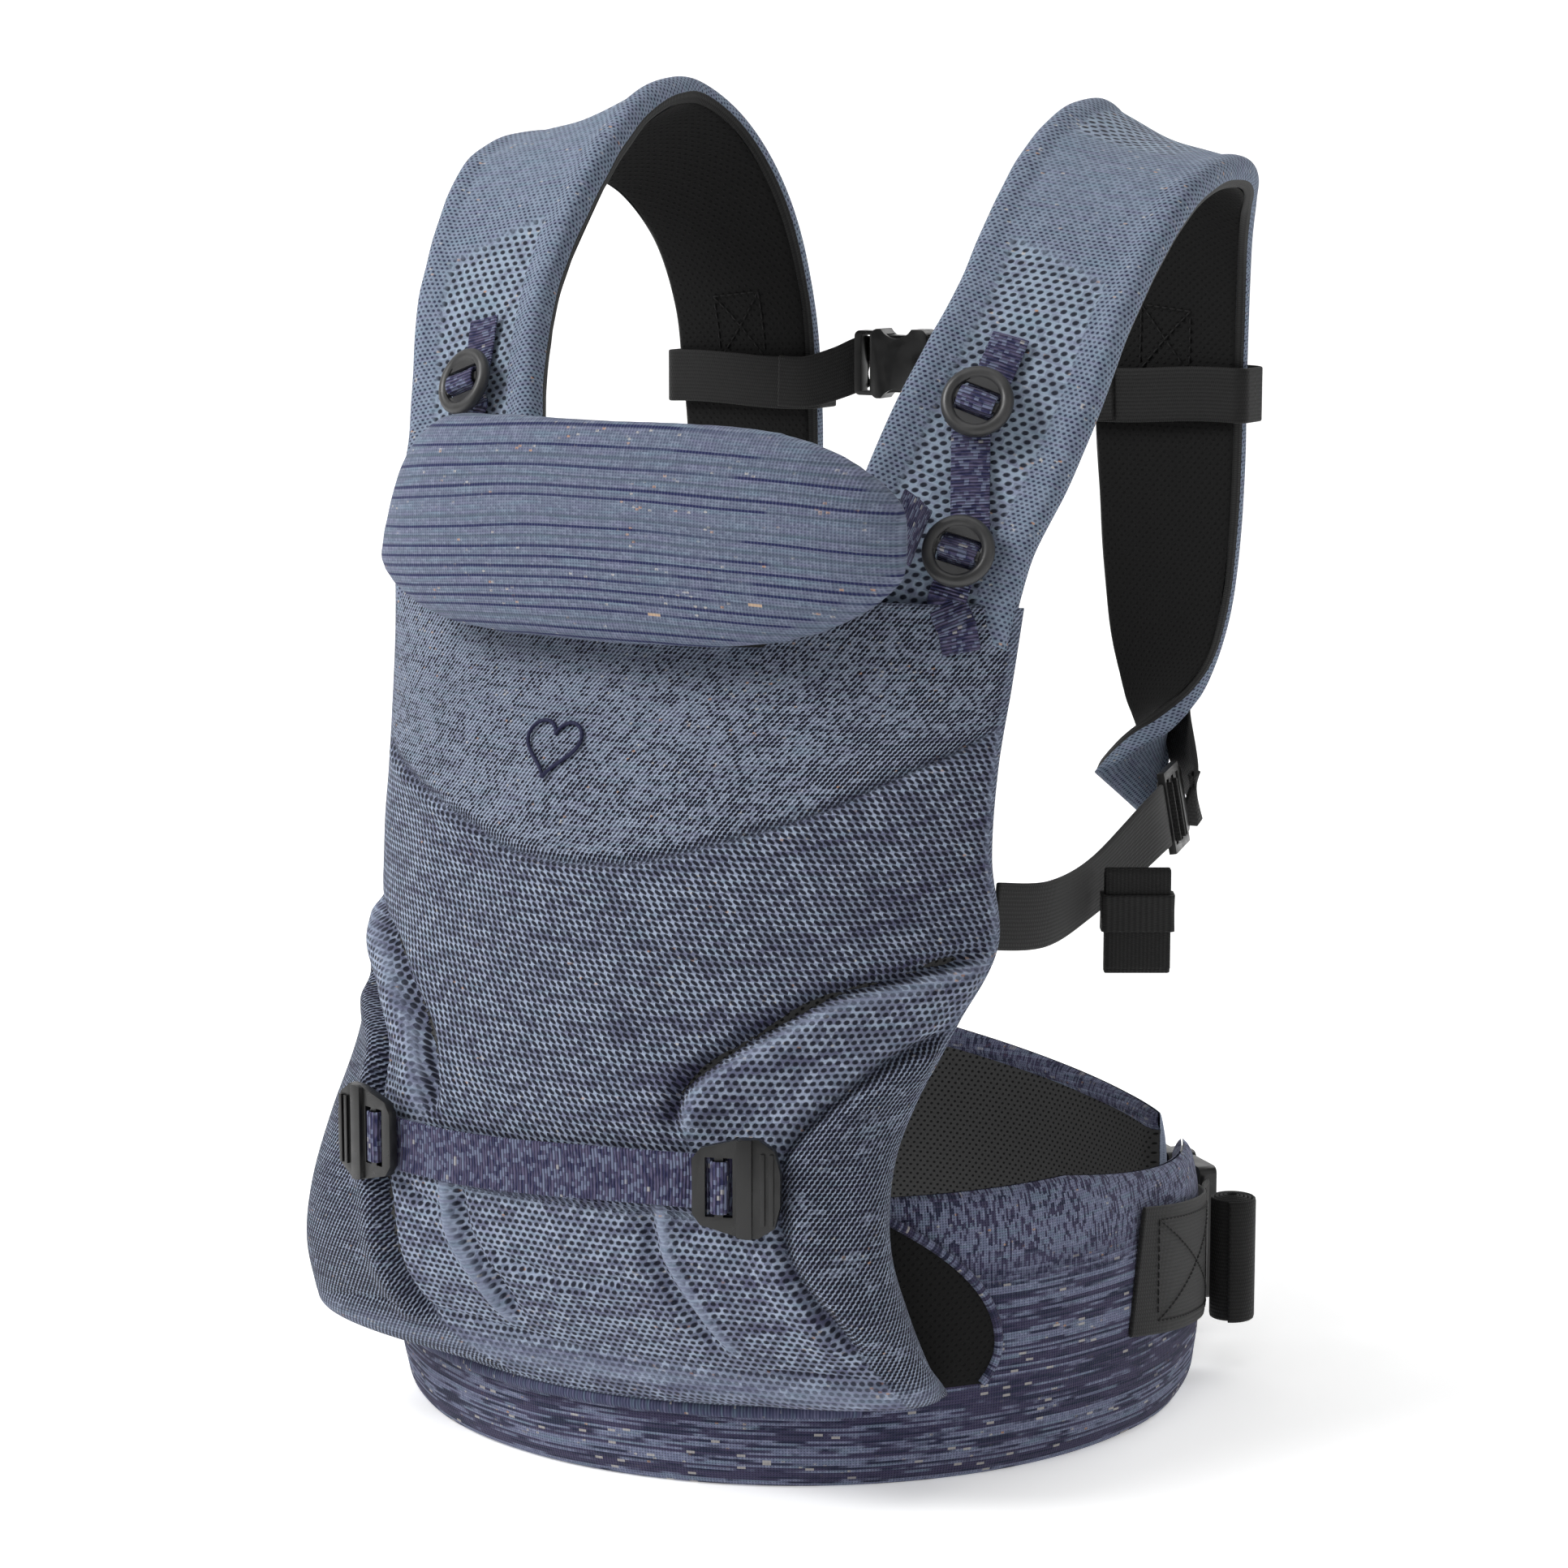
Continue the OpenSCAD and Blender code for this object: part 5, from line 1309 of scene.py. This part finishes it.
def build_seat_band():
    row, col, _, _ = panel_spot(SLIDER_X, BAND_Z)
    u = np.linspace(-col, col, 170)
    s = np.full(u.shape, row)
    lift = 3.2 - 0.6 * hill(np.abs(u) / col, 0.4)
    centres = panel_at(u, s) + panel_normal(u, s) * lift[:, None]
    near_slider = hill((col - np.abs(u)) / col, 0.2)
    centres += panel_normal(u, s) * (0.7 * near_slider * np.sin(np.abs(u) * 190))[:, None]
    centres[:, 2] += 1.5 * np.sin(u * 6)
    piece = Piece("seat_band_knit")
    ribbon(piece, centres, UP, SEAT_BAND_W, 1.4, crown=0.5)
    replace(piece.build([BAND_KNIT]), "carrier", "melange_band", "seat_band")


def bevelled(name, body, width, node):
    """The CAD shape of a moulded piece, with the soft edges that moulding gives it."""
    work = bmesh.new()
    work.from_mesh(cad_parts[node].data)
    bmesh.ops.remove_doubles(work, verts=work.verts, dist=1e-6)
    bmesh.ops.dissolve_limit(work, angle_limit=0.02, verts=work.verts, edges=work.edges)
    mesh = bpy.data.meshes.new(name)
    work.to_mesh(mesh)
    work.free()
    mesh.materials.clear()
    mesh.materials.append(PLASTIC)
    thing = bpy.data.objects.new(name, mesh)
    bpy.context.scene.collection.objects.link(thing)
    edge = thing.modifiers.new("edge", "BEVEL")
    edge.width = width * MM
    edge.segments = 3
    edge.limit_method = "ANGLE"
    edge.angle_limit = math.radians(40)
    edge.use_clamp_overlap = True
    edge.harden_normals = False
    bpy.context.view_layer.objects.active = thing
    bpy.ops.object.modifier_apply(modifier=edge.name)
    mesh.polygons.foreach_set("use_smooth", [True] * len(mesh.polygons))
    mesh.polygons.foreach_set("material_index", [0] * len(mesh.polygons))
    mesh.set_sharp_from_angle(angle=math.radians(38))
    return replace(thing, body, "plastic_grey", node)


def build_slider_wrap(side):
    """Turn of band over the slider's bar."""
    sign = SIDES[side]
    _, _, point, n = panel_spot(SLIDER_X, BAND_Z)
    flat_n = unit(n * [1, 1, 0])
    way = np.array([-flat_n[1], flat_n[0], 0])
    centre = point + n * 6.6 + way * ((-11.2 + 3.4 - 4.6) / 2)
    rising = [(-2.6, -2.6), (-2.7, 0), (-2.4, 2.2), (-1.2, 2.9)]
    keys = rising + [(0, 3.0)] + [(-a, b) for a, b in rising[::-1]]
    line = respace([list(k) for k in keys], 0.5)
    centres = in_plane(centre, line, way, flat_n) * [sign, 1, 1]
    piece = Piece(f"slider_wrap_knit_{side}")
    ribbon(piece, centres, UP, SEAT_BAND_W - 0.8, 0.9)
    replace(piece.build([BAND_KNIT]), f"slider_{side}", "melange_band", f"slider_wrap_{side}")


# ---- Webbing ----

LOCK_O = np.array([121.0, 91.0, 225.0])
LOCK_RUN = unit(np.array([0.22, -0.97, -0.05]))
LOCK_UP = unit(np.array([-0.16, -0.05, 1.0]) - LOCK_RUN * np.dot([-0.16, -0.05, 1.0], LOCK_RUN))
LOCK_N = np.cross(LOCK_RUN, LOCK_UP)
LOCK_LEN, LOCK_PITCH = 26, 8.5
SMALL_W, WEB_T = 25, 1.6
PANEL_ANCHOR = np.array([134.0, -86.0, 211.0])


def mirrored(points, sign):
    return np.asarray(points, float) * [sign, 1, 1]


def width_line(keys, count):
    return unit(along([list(k) for k in keys], np.linspace(0, 1, count)))


def webbing_piece(name, keys, widths, width, body, nodes, sign=1, material=None, thick=WEB_T):
    centres = respace(keys, 1.2)
    across = width_line(widths, len(centres))
    piece = Piece(name)
    ribbon(piece, mirrored(centres, sign), mirrored(across, sign), width, thick)
    made = piece.build([material or WEBBING])
    if body:
        replace(made, body, "webbing_black", *nodes)
    return made


def stretch(strip, node, start, stop):
    """Webbing that stands for the CAD node: hides the node and bakes the strip's placement into its mesh;
    start and stop are not used.
    """
    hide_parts(node)
    start, stop = (tuple((p + [0, STAND_Y, 0]) * MM) for p in (start, stop))
    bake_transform(strip)


def build_underarm(side, strap):
    sign = SIDES[side]
    front = LOCK_O + LOCK_RUN * (LOCK_LEN / 2 + 1.5)
    keys = [PANEL_ANCHOR + [-1, -3, 1], PANEL_ANCHOR + [4, 30, -3], [130, 0, 209]]
    keys += [front + LOCK_RUN * 22, front]
    name = f"underarm_webbing_strap_{side}"
    strip = webbing_piece(name, keys, [[0, 0, 1], [0.1, 0, 1], LOCK_UP], SMALL_W, None, (), sign)
    start, stop = (mirrored(front + LOCK_RUN * far, sign) for far in (34, 3))
    stretch(strip, f"underarm_webbing_{side}", start, stop)

    rear = LOCK_LEN / 2
    keys = [strap.point(0.84, 0, STRAP_OUT + 1.6), strap.point(0.88, 0, STRAP_OUT + 2.4),
            LOCK_O - LOCK_RUN * (rear + 15) - LOCK_N * 3, LOCK_O - LOCK_RUN * (rear + 9.6) - LOCK_N]
    across = strap.frame(0.86)[1]
    name = f"lock_loop_webbing_{side}"
    webbing_piece(name, keys, [across, LOCK_UP], SMALL_W - 2, "carrier", (f"lock_loop_{side}",), sign)

    half = LOCK_PITCH / 2
    rising = [(-half, -3.2), (-half - 0.1, 0), (-half + 0.6, 2.6)]
    keys = rising + [(0, 3.1)] + [(-a, b) for a, b in rising[::-1]]
    line = respace([list(k) for k in keys], 0.6)
    centres = in_plane(LOCK_O + LOCK_RUN * half, line, LOCK_RUN, LOCK_N)
    piece = Piece(f"lock_wrap_webbing_{side}")
    ribbon(piece, mirrored(centres, sign), mirrored(LOCK_UP, sign), SMALL_W - 0.8, 1.4)
    replace(piece.build([WEBBING]), f"lock_{side}", "webbing_black", f"lock_wrap_{side}")


TAIL = dict(x=147, y=2.5, deg=120, top=217, bottom=176, half=4.4)
KEEPER_T = 1.2


def build_tail(side):
    """Spare end of the underarm webbing, folded flat on itself and held by an elastic keeper."""
    sign = SIDES[side]
    a = math.radians(TAIL["deg"])
    thick_dir = np.array([math.cos(a), math.sin(a), 0])
    wide_dir = np.array([-math.sin(a), math.cos(a), 0])
    origin = np.array([TAIL["x"], TAIL["y"], 0.0])
    low, high = TAIL["bottom"], TAIL["top"]
    # Five layers, folded to and fro
    route, layers = [], [-3.5, -1.75, 0, 1.75, 3.5]
    for k, t in enumerate(layers):
        ends = (low + 2.5, high - 2.5) if k % 2 == 0 else (high - 2.5, low + 2.5)
        if k:
            bend = np.sign(ends[0] - (low + high) / 2)
            route.append(((layers[k - 1] + t) / 2, ends[0] + bend * 1.4))
        route += [(t, ends[0]), (t, (ends[0] + ends[1]) / 2), (t, ends[1])]
    line = respace([list(r) for r in route], 1.0)
    centres = in_plane(origin, line, thick_dir, UP)
    piece = Piece(f"strap_tail_fold_{side}")
    ribbon(piece, mirrored(centres, sign), mirrored(wide_dir, sign), SMALL_W, 1.45)
    replace(piece.build([WEBBING]), "carrier", "webbing_black", f"strap_tail_{side}")

    z = np.linspace(TAIL["top"] - 24, TAIL["top"] - 10, 15)
    loops = []
    for level in z:
        pinch = 0.25 * math.sin((level - z[0]) / (z[-1] - z[0]) * math.pi)
        grown = 0.6 + 2 * KEEPER_T - pinch
        loop = round_box_loop(2 * TAIL["half"] + grown, SMALL_W + grown, 2.0, 64)
        loops.append(in_plane(origin + UP * level, loop, thick_dir, wide_dir))
    inner = []
    for level in z[::-1]:
        loop = round_box_loop(2 * TAIL["half"] + 0.3, SMALL_W + 0.3, 1.4, 64)
        inner.append(in_plane(origin + UP * level, loop, thick_dir, wide_dir))
    rows = np.array(loops + inner + loops[:1])
    piece = Piece(f"tail_keeper_elastic_{side}")
    loft(piece, mirrored(rows, sign), flip=sign > 0)
    replace(piece.build([ELASTIC]), "carrier", "elastic_black", f"tail_keeper_{side}")


CHEST_Z = 388
CHEST_MOUTH = np.array([-5.0, 119.2, 397.0])
LOOP_MID = np.array([98.5, 131.0, CHEST_Z])
LOOP_IN = (71, 19)
CHEST_W = 22


def build_chest_loop(side):
    """Webbing that goes round the back part of a shoulder strap."""
    sign = SIDES[side]
    # A little slack, so that it clears the padding wherever it slides
    outline = round_box_loop(LOOP_IN[0] + 0.6 + WEB_T, LOOP_IN[1] + 0.2 + WEB_T, 4.5, 160)
    outline = np.concatenate([outline, outline[:1]])
    outline = respace(outline, 1.0, smoothing=False)
    centres = LOOP_MID + np.column_stack([outline, 0.9 * np.sin(outline[:, 0] / 14)])
    piece = Piece(f"chest_loop_webbing_{side}")
    ribbon(piece, mirrored(centres, sign), UP, CHEST_W, WEB_T, ends=False)
    replace(piece.build([WEBBING]), "chest_strap", "webbing_black", f"chest_loop_{side}")


def buckle_t(w):
    return 8 + w * 0.09


def build_chest_webbing(side):
    sign = SIDES[side]
    slot = {"left": 14 + CHEST_W * 0.55 + 1.6 + 4.2 - 0.4, "right": 21.5 - 0.4}[side]
    lap_y = CHEST_MOUTH[1] + 0.31 * buckle_t(CHEST_W) + WEB_T / 2 + 0.15
    edge = LOOP_MID[0] - LOOP_IN[0] / 2 - WEB_T
    loop_y = LOOP_MID[1] - LOOP_IN[1] / 2 - WEB_T / 2
    near = np.array([sign * (edge + 1), loop_y - WEB_T - 0.1, CHEST_Z])
    lap = np.array([CHEST_MOUTH[0] + sign * slot, lap_y, CHEST_MOUTH[2]])
    keys = [near + [sign * 16, 0.4, 0], near + [sign * 2, 0, 0], lap * 0.5 + near * 0.5]
    keys += [lap + [sign * 3, 0, 0], lap]
    centres = respace(keys, 1.0)
    piece = Piece(f"chest_webbing_strap_{side}")
    ribbon(piece, centres, UP, CHEST_W - 0.6, WEB_T)
    strip = piece.build([WEBBING])
    if side == "left":
        return replace(strip, "chest_strap", "webbing_black", "chest_webbing_left")
    stretch(strip, "chest_webbing_right", near, lap)


def sew_box(piece, at, x1, x2, half, number=1):
    """Raised stitches round a box and across it. at(x, y, lift) turns millimetres into places."""
    stitch, gap = 2.6, 0.8
    box = [(x1, -half), (x2, -half), (x2, half), (x1, half), (x1, -half), (x2, half)]
    for a, b in list(zip(box, box[1:])) + [((x1, half), (x2, -half))]:
        length = math.dist(a, b)
        for k in range(int(length / (stitch + gap))):
            t = (np.linspace(0, stitch, 5) + k * (stitch + gap)) / length
            lift = 0.3 * np.sin(np.linspace(0, np.pi, 5))
            line = at(a[0] + (b[0] - a[0]) * t, a[1] + (b[1] - a[1]) * t, lift)
            round_bar(piece, line, 0.38, number)


WAIST_W = 50
BUCKLE_Z = 44
PATCH_T = 1.6


def build_patch(name, node, a1, a2, z1, drop):
    """Webbing on the outside of the belt, sewn down by a stitched box with a cross."""
    share = np.linspace(0, 1, int(abs(a2 - a1) * 2.8))
    out = 0.5 + PATCH_T / 2 + 0.3 * np.sin(share * 9)
    centres = by_belt(a1 + (a2 - a1) * share, out, z1 - drop * share)
    piece = ribbon(Piece(name), centres, UP, WAIST_W, PATCH_T)
    reach = abs(a2 - a1) * math.radians(1) * BELT_R

    def at(x, y, lift):
        q = x / reach
        out = PATCH_T + 0.55 + 0.3 * np.sin(q * 9) + lift
        return by_belt(a1 + (a2 - a1) * q, out, z1 - drop * q + y)

    sew_box(piece, at, 0.12 * reach, 0.88 * reach, WAIST_W / 2 - 5)
    replace(piece.build([WEBBING, THREAD]), "carrier", "webbing_black", node)


def round_bar(piece, line, radius, number=0, sides=6):
    """A thin round bar along a line of points."""
    run = unit(np.gradient(line, axis=0))
    side = unit(np.cross(run, UP + 0.01))
    other = np.cross(run, side)
    t = np.linspace(0, 2 * np.pi, sides, endpoint=False)
    around = np.cos(t)[None, :, None] * side[:, None] + np.sin(t)[None, :, None] * other[:, None]
    ring = line[:, None] + radius * around
    ring[0] = ring[0] * 0.4 + line[0] * 0.6
    ring[-1] = ring[-1] * 0.4 + line[-1] * 0.6
    return loft(piece, ring, number)


def build_roll():
    """Spare waist webbing, wound into a spiral."""
    centre = by_belt(29, 3.4 + 10, BUCKLE_Z + 1)
    turns, first, last = 4.3, 2.0, 9.2
    t = np.linspace(0, 1, 260)
    angle = -t * turns * 2 * np.pi + 0.6
    radius = first + (last - first) * t
    centres = centre + np.stack([radius * np.cos(angle), radius * np.sin(angle), 1.2 * (1 - t)], -1)
    piece = Piece("waist_webbing_spiral")
    ribbon(piece, centres, UP, WAIST_W, 1.45)
    replace(piece.build([WEBBING]), "carrier", "webbing_black", "waist_webbing_roll")


def build_waist_webbing():
    front_end, back_start = 34, 74
    keys = [by_belt(front_end - 3, 3, 47), by_belt(front_end + 1, 4, 46), by_belt(40, 9, BUCKLE_Z)]
    upright, node = [[0, 0, 1], [0, 0, 1]], "waist_webbing_front"
    webbing_piece("waist_webbing_strap_front", keys, upright, WAIST_W - 1, "carrier", (node,))
    keys = [by_belt(68.5, 15.5, BUCKLE_Z), by_belt(71, 10, BUCKLE_Z + 1), by_belt(back_start + 3, 3, 46)]
    strip = webbing_piece("waist_webbing_strap_back", keys, upright, WAIST_W - 1, None, ())
    stretch(strip, "waist_webbing_back", keys[-1], keys[0])


# ---- Emblem ----


def build_emblem():
    """Small heart outline, sewn in a raised cord of thread."""
    _, _, centre, n = panel_spot(-25, 272)
    x = unit(np.cross(UP, n))
    y = np.cross(n, x)
    t = np.linspace(0, 2 * np.pi, 120)
    height = 13 * np.cos(t) - 5 * np.cos(2 * t) - 2 * np.cos(3 * t) - np.cos(4 * t)
    heart = np.stack([16 * np.sin(t) ** 3, height], -1) * 0.78 - [0, 3]
    line = in_plane(centre + n, heart, x, y)
    piece = Piece("emblem_heart_stitch")
    round_bar(piece, line, 0.75, sides=8)
    replace(piece.build([NAVY_THREAD]), "carrier", "knit_navy", "emblem")


# ---- Everything ----

build_panel()
build_hem()
build_belt()
build_gussets()
build_pillow()
build_seat_band()
build_emblem()
for side in SIDES:
    strap = build_strap(side)
    build_band(strap, side)
    for level, name in enumerate(("upper", "lower")):
        build_ring(strap, side, level, f"{name}_ring_{side}")
    build_tab(strap, side)
    bevelled(f"seat_slider_moulded_{side}", f"slider_{side}", 0.5, f"seat_slider_{side}")
    build_slider_wrap(side)
    build_underarm(side, strap)
    bevelled(f"ladder_lock_moulded_{side}", f"lock_{side}", 0.5, f"ladder_lock_{side}")
    build_tail(side)
    build_chest_loop(side)
    build_chest_webbing(side)
build_patch("waist_patch_webbing_front", "waist_patch_front", -8, 34, 66, 20)
build_patch("waist_patch_webbing_back", "waist_patch_back", 74, 112, 45, -6)
build_roll()
build_waist_webbing()
for part, body in (
    ("chest_buckle_female", "chest_strap"), ("chest_buckle_male", "chest_male"),
    ("chest_prong_upper", "chest_prong_up"), ("chest_prong_lower", "chest_prong_low"),
    ("waist_buckle_female", "waist_female"), ("waist_buckle_male", "carrier"),
    ("waist_prong_upper", "waist_prong_up"), ("waist_prong_lower", "waist_prong_low"),
):
    bevelled(f"{part}_moulded", body, 0.45, part)


# ---- Floor, light and camera ----

VIEW_AZIMUTH = 30


def stage_surface():
    """Pale floor that curves up into a backdrop."""
    pale = Cloth("stage_paper", roughness=0.95, specular=0.1)
    x, y, z = pale.place_mm()
    pale.shader.inputs["Emission Color"].default_value = (1, 1, 1, 1)
    pale.shader.inputs["Emission Strength"].default_value = 0.35
    cloud = pale.noise(x * 0.01, y * 0.01, z * 0.01)
    material = pale.finish(pale.mix(cloud, grey_light(250), grey_light(253)))
    reach, rise, bend = 6000, 5000, 1200
    line = [(-reach, 0), (1500, 0)] + [
        (1500 + bend * math.sin(t), bend * (1 - math.cos(t))) for t in np.linspace(0, math.pi / 2, 24)[1:]
    ] + [(1500 + bend, rise)]
    a = math.radians(VIEW_AZIMUTH)
    ahead, aside = np.array([-math.sin(a), math.cos(a), 0]), np.array([math.cos(a), math.sin(a), 0])
    rows = [[ahead * d + aside * w + UP * h for w in (-6000, 6000)] for d, h in line]
    piece = Piece("stage_backdrop")
    piece.grid(np.array(rows) - [0, 0, 0.05])
    piece.build([material])


def aimed(name, data, azimuth, height, distance, target):
    """A light or camera that looks at target, from degrees round it and up."""
    a, e = math.radians(azimuth), math.radians(height)
    way = np.array([math.sin(a) * math.cos(e), -math.cos(a) * math.cos(e), math.sin(e)])
    holder = bpy.data.objects.new(name, data)
    holder.location = target + way * distance
    holder.rotation_euler = (-Vector(way)).to_track_quat("-Z", "Y").to_euler()
    bpy.context.scene.collection.objects.link(holder)
    return holder


def area_light(name, azimuth, height, distance, size, power):
    light = bpy.data.lights.new(name, "AREA")
    light.shape = "DISK"
    light.size = size
    light.energy = power
    aimed(name, light, azimuth, height, distance, np.array([0, 0, 0.2]))


def camera():
    lens = bpy.data.cameras.new("view")
    lens.lens = 95.4
    lens.sensor_width = 36
    target = np.array([-0.007, 0.0136, 0.237])
    bpy.context.scene.camera = aimed("view", lens, VIEW_AZIMUTH, 9.2, 1.6516, target)


stage_surface()
area_light("key", -40, 38, 2.2, 1.1, 38)
area_light("fill", 75, 22, 2.6, 1.8, 6)
area_light("top", 20, 80, 2.0, 1.6, 7)
area_light("rim", 165, 40, 2.4, 1.2, 10)
world = bpy.data.worlds.new("studio")
world.use_nodes = True
world.node_tree.nodes["Background"].inputs[0].default_value = (1, 1, 1, 1)
world.node_tree.nodes["Background"].inputs[1].default_value = 0.3
bpy.context.scene.world = world
bpy.context.scene.view_settings.view_transform = "Standard"
camera()
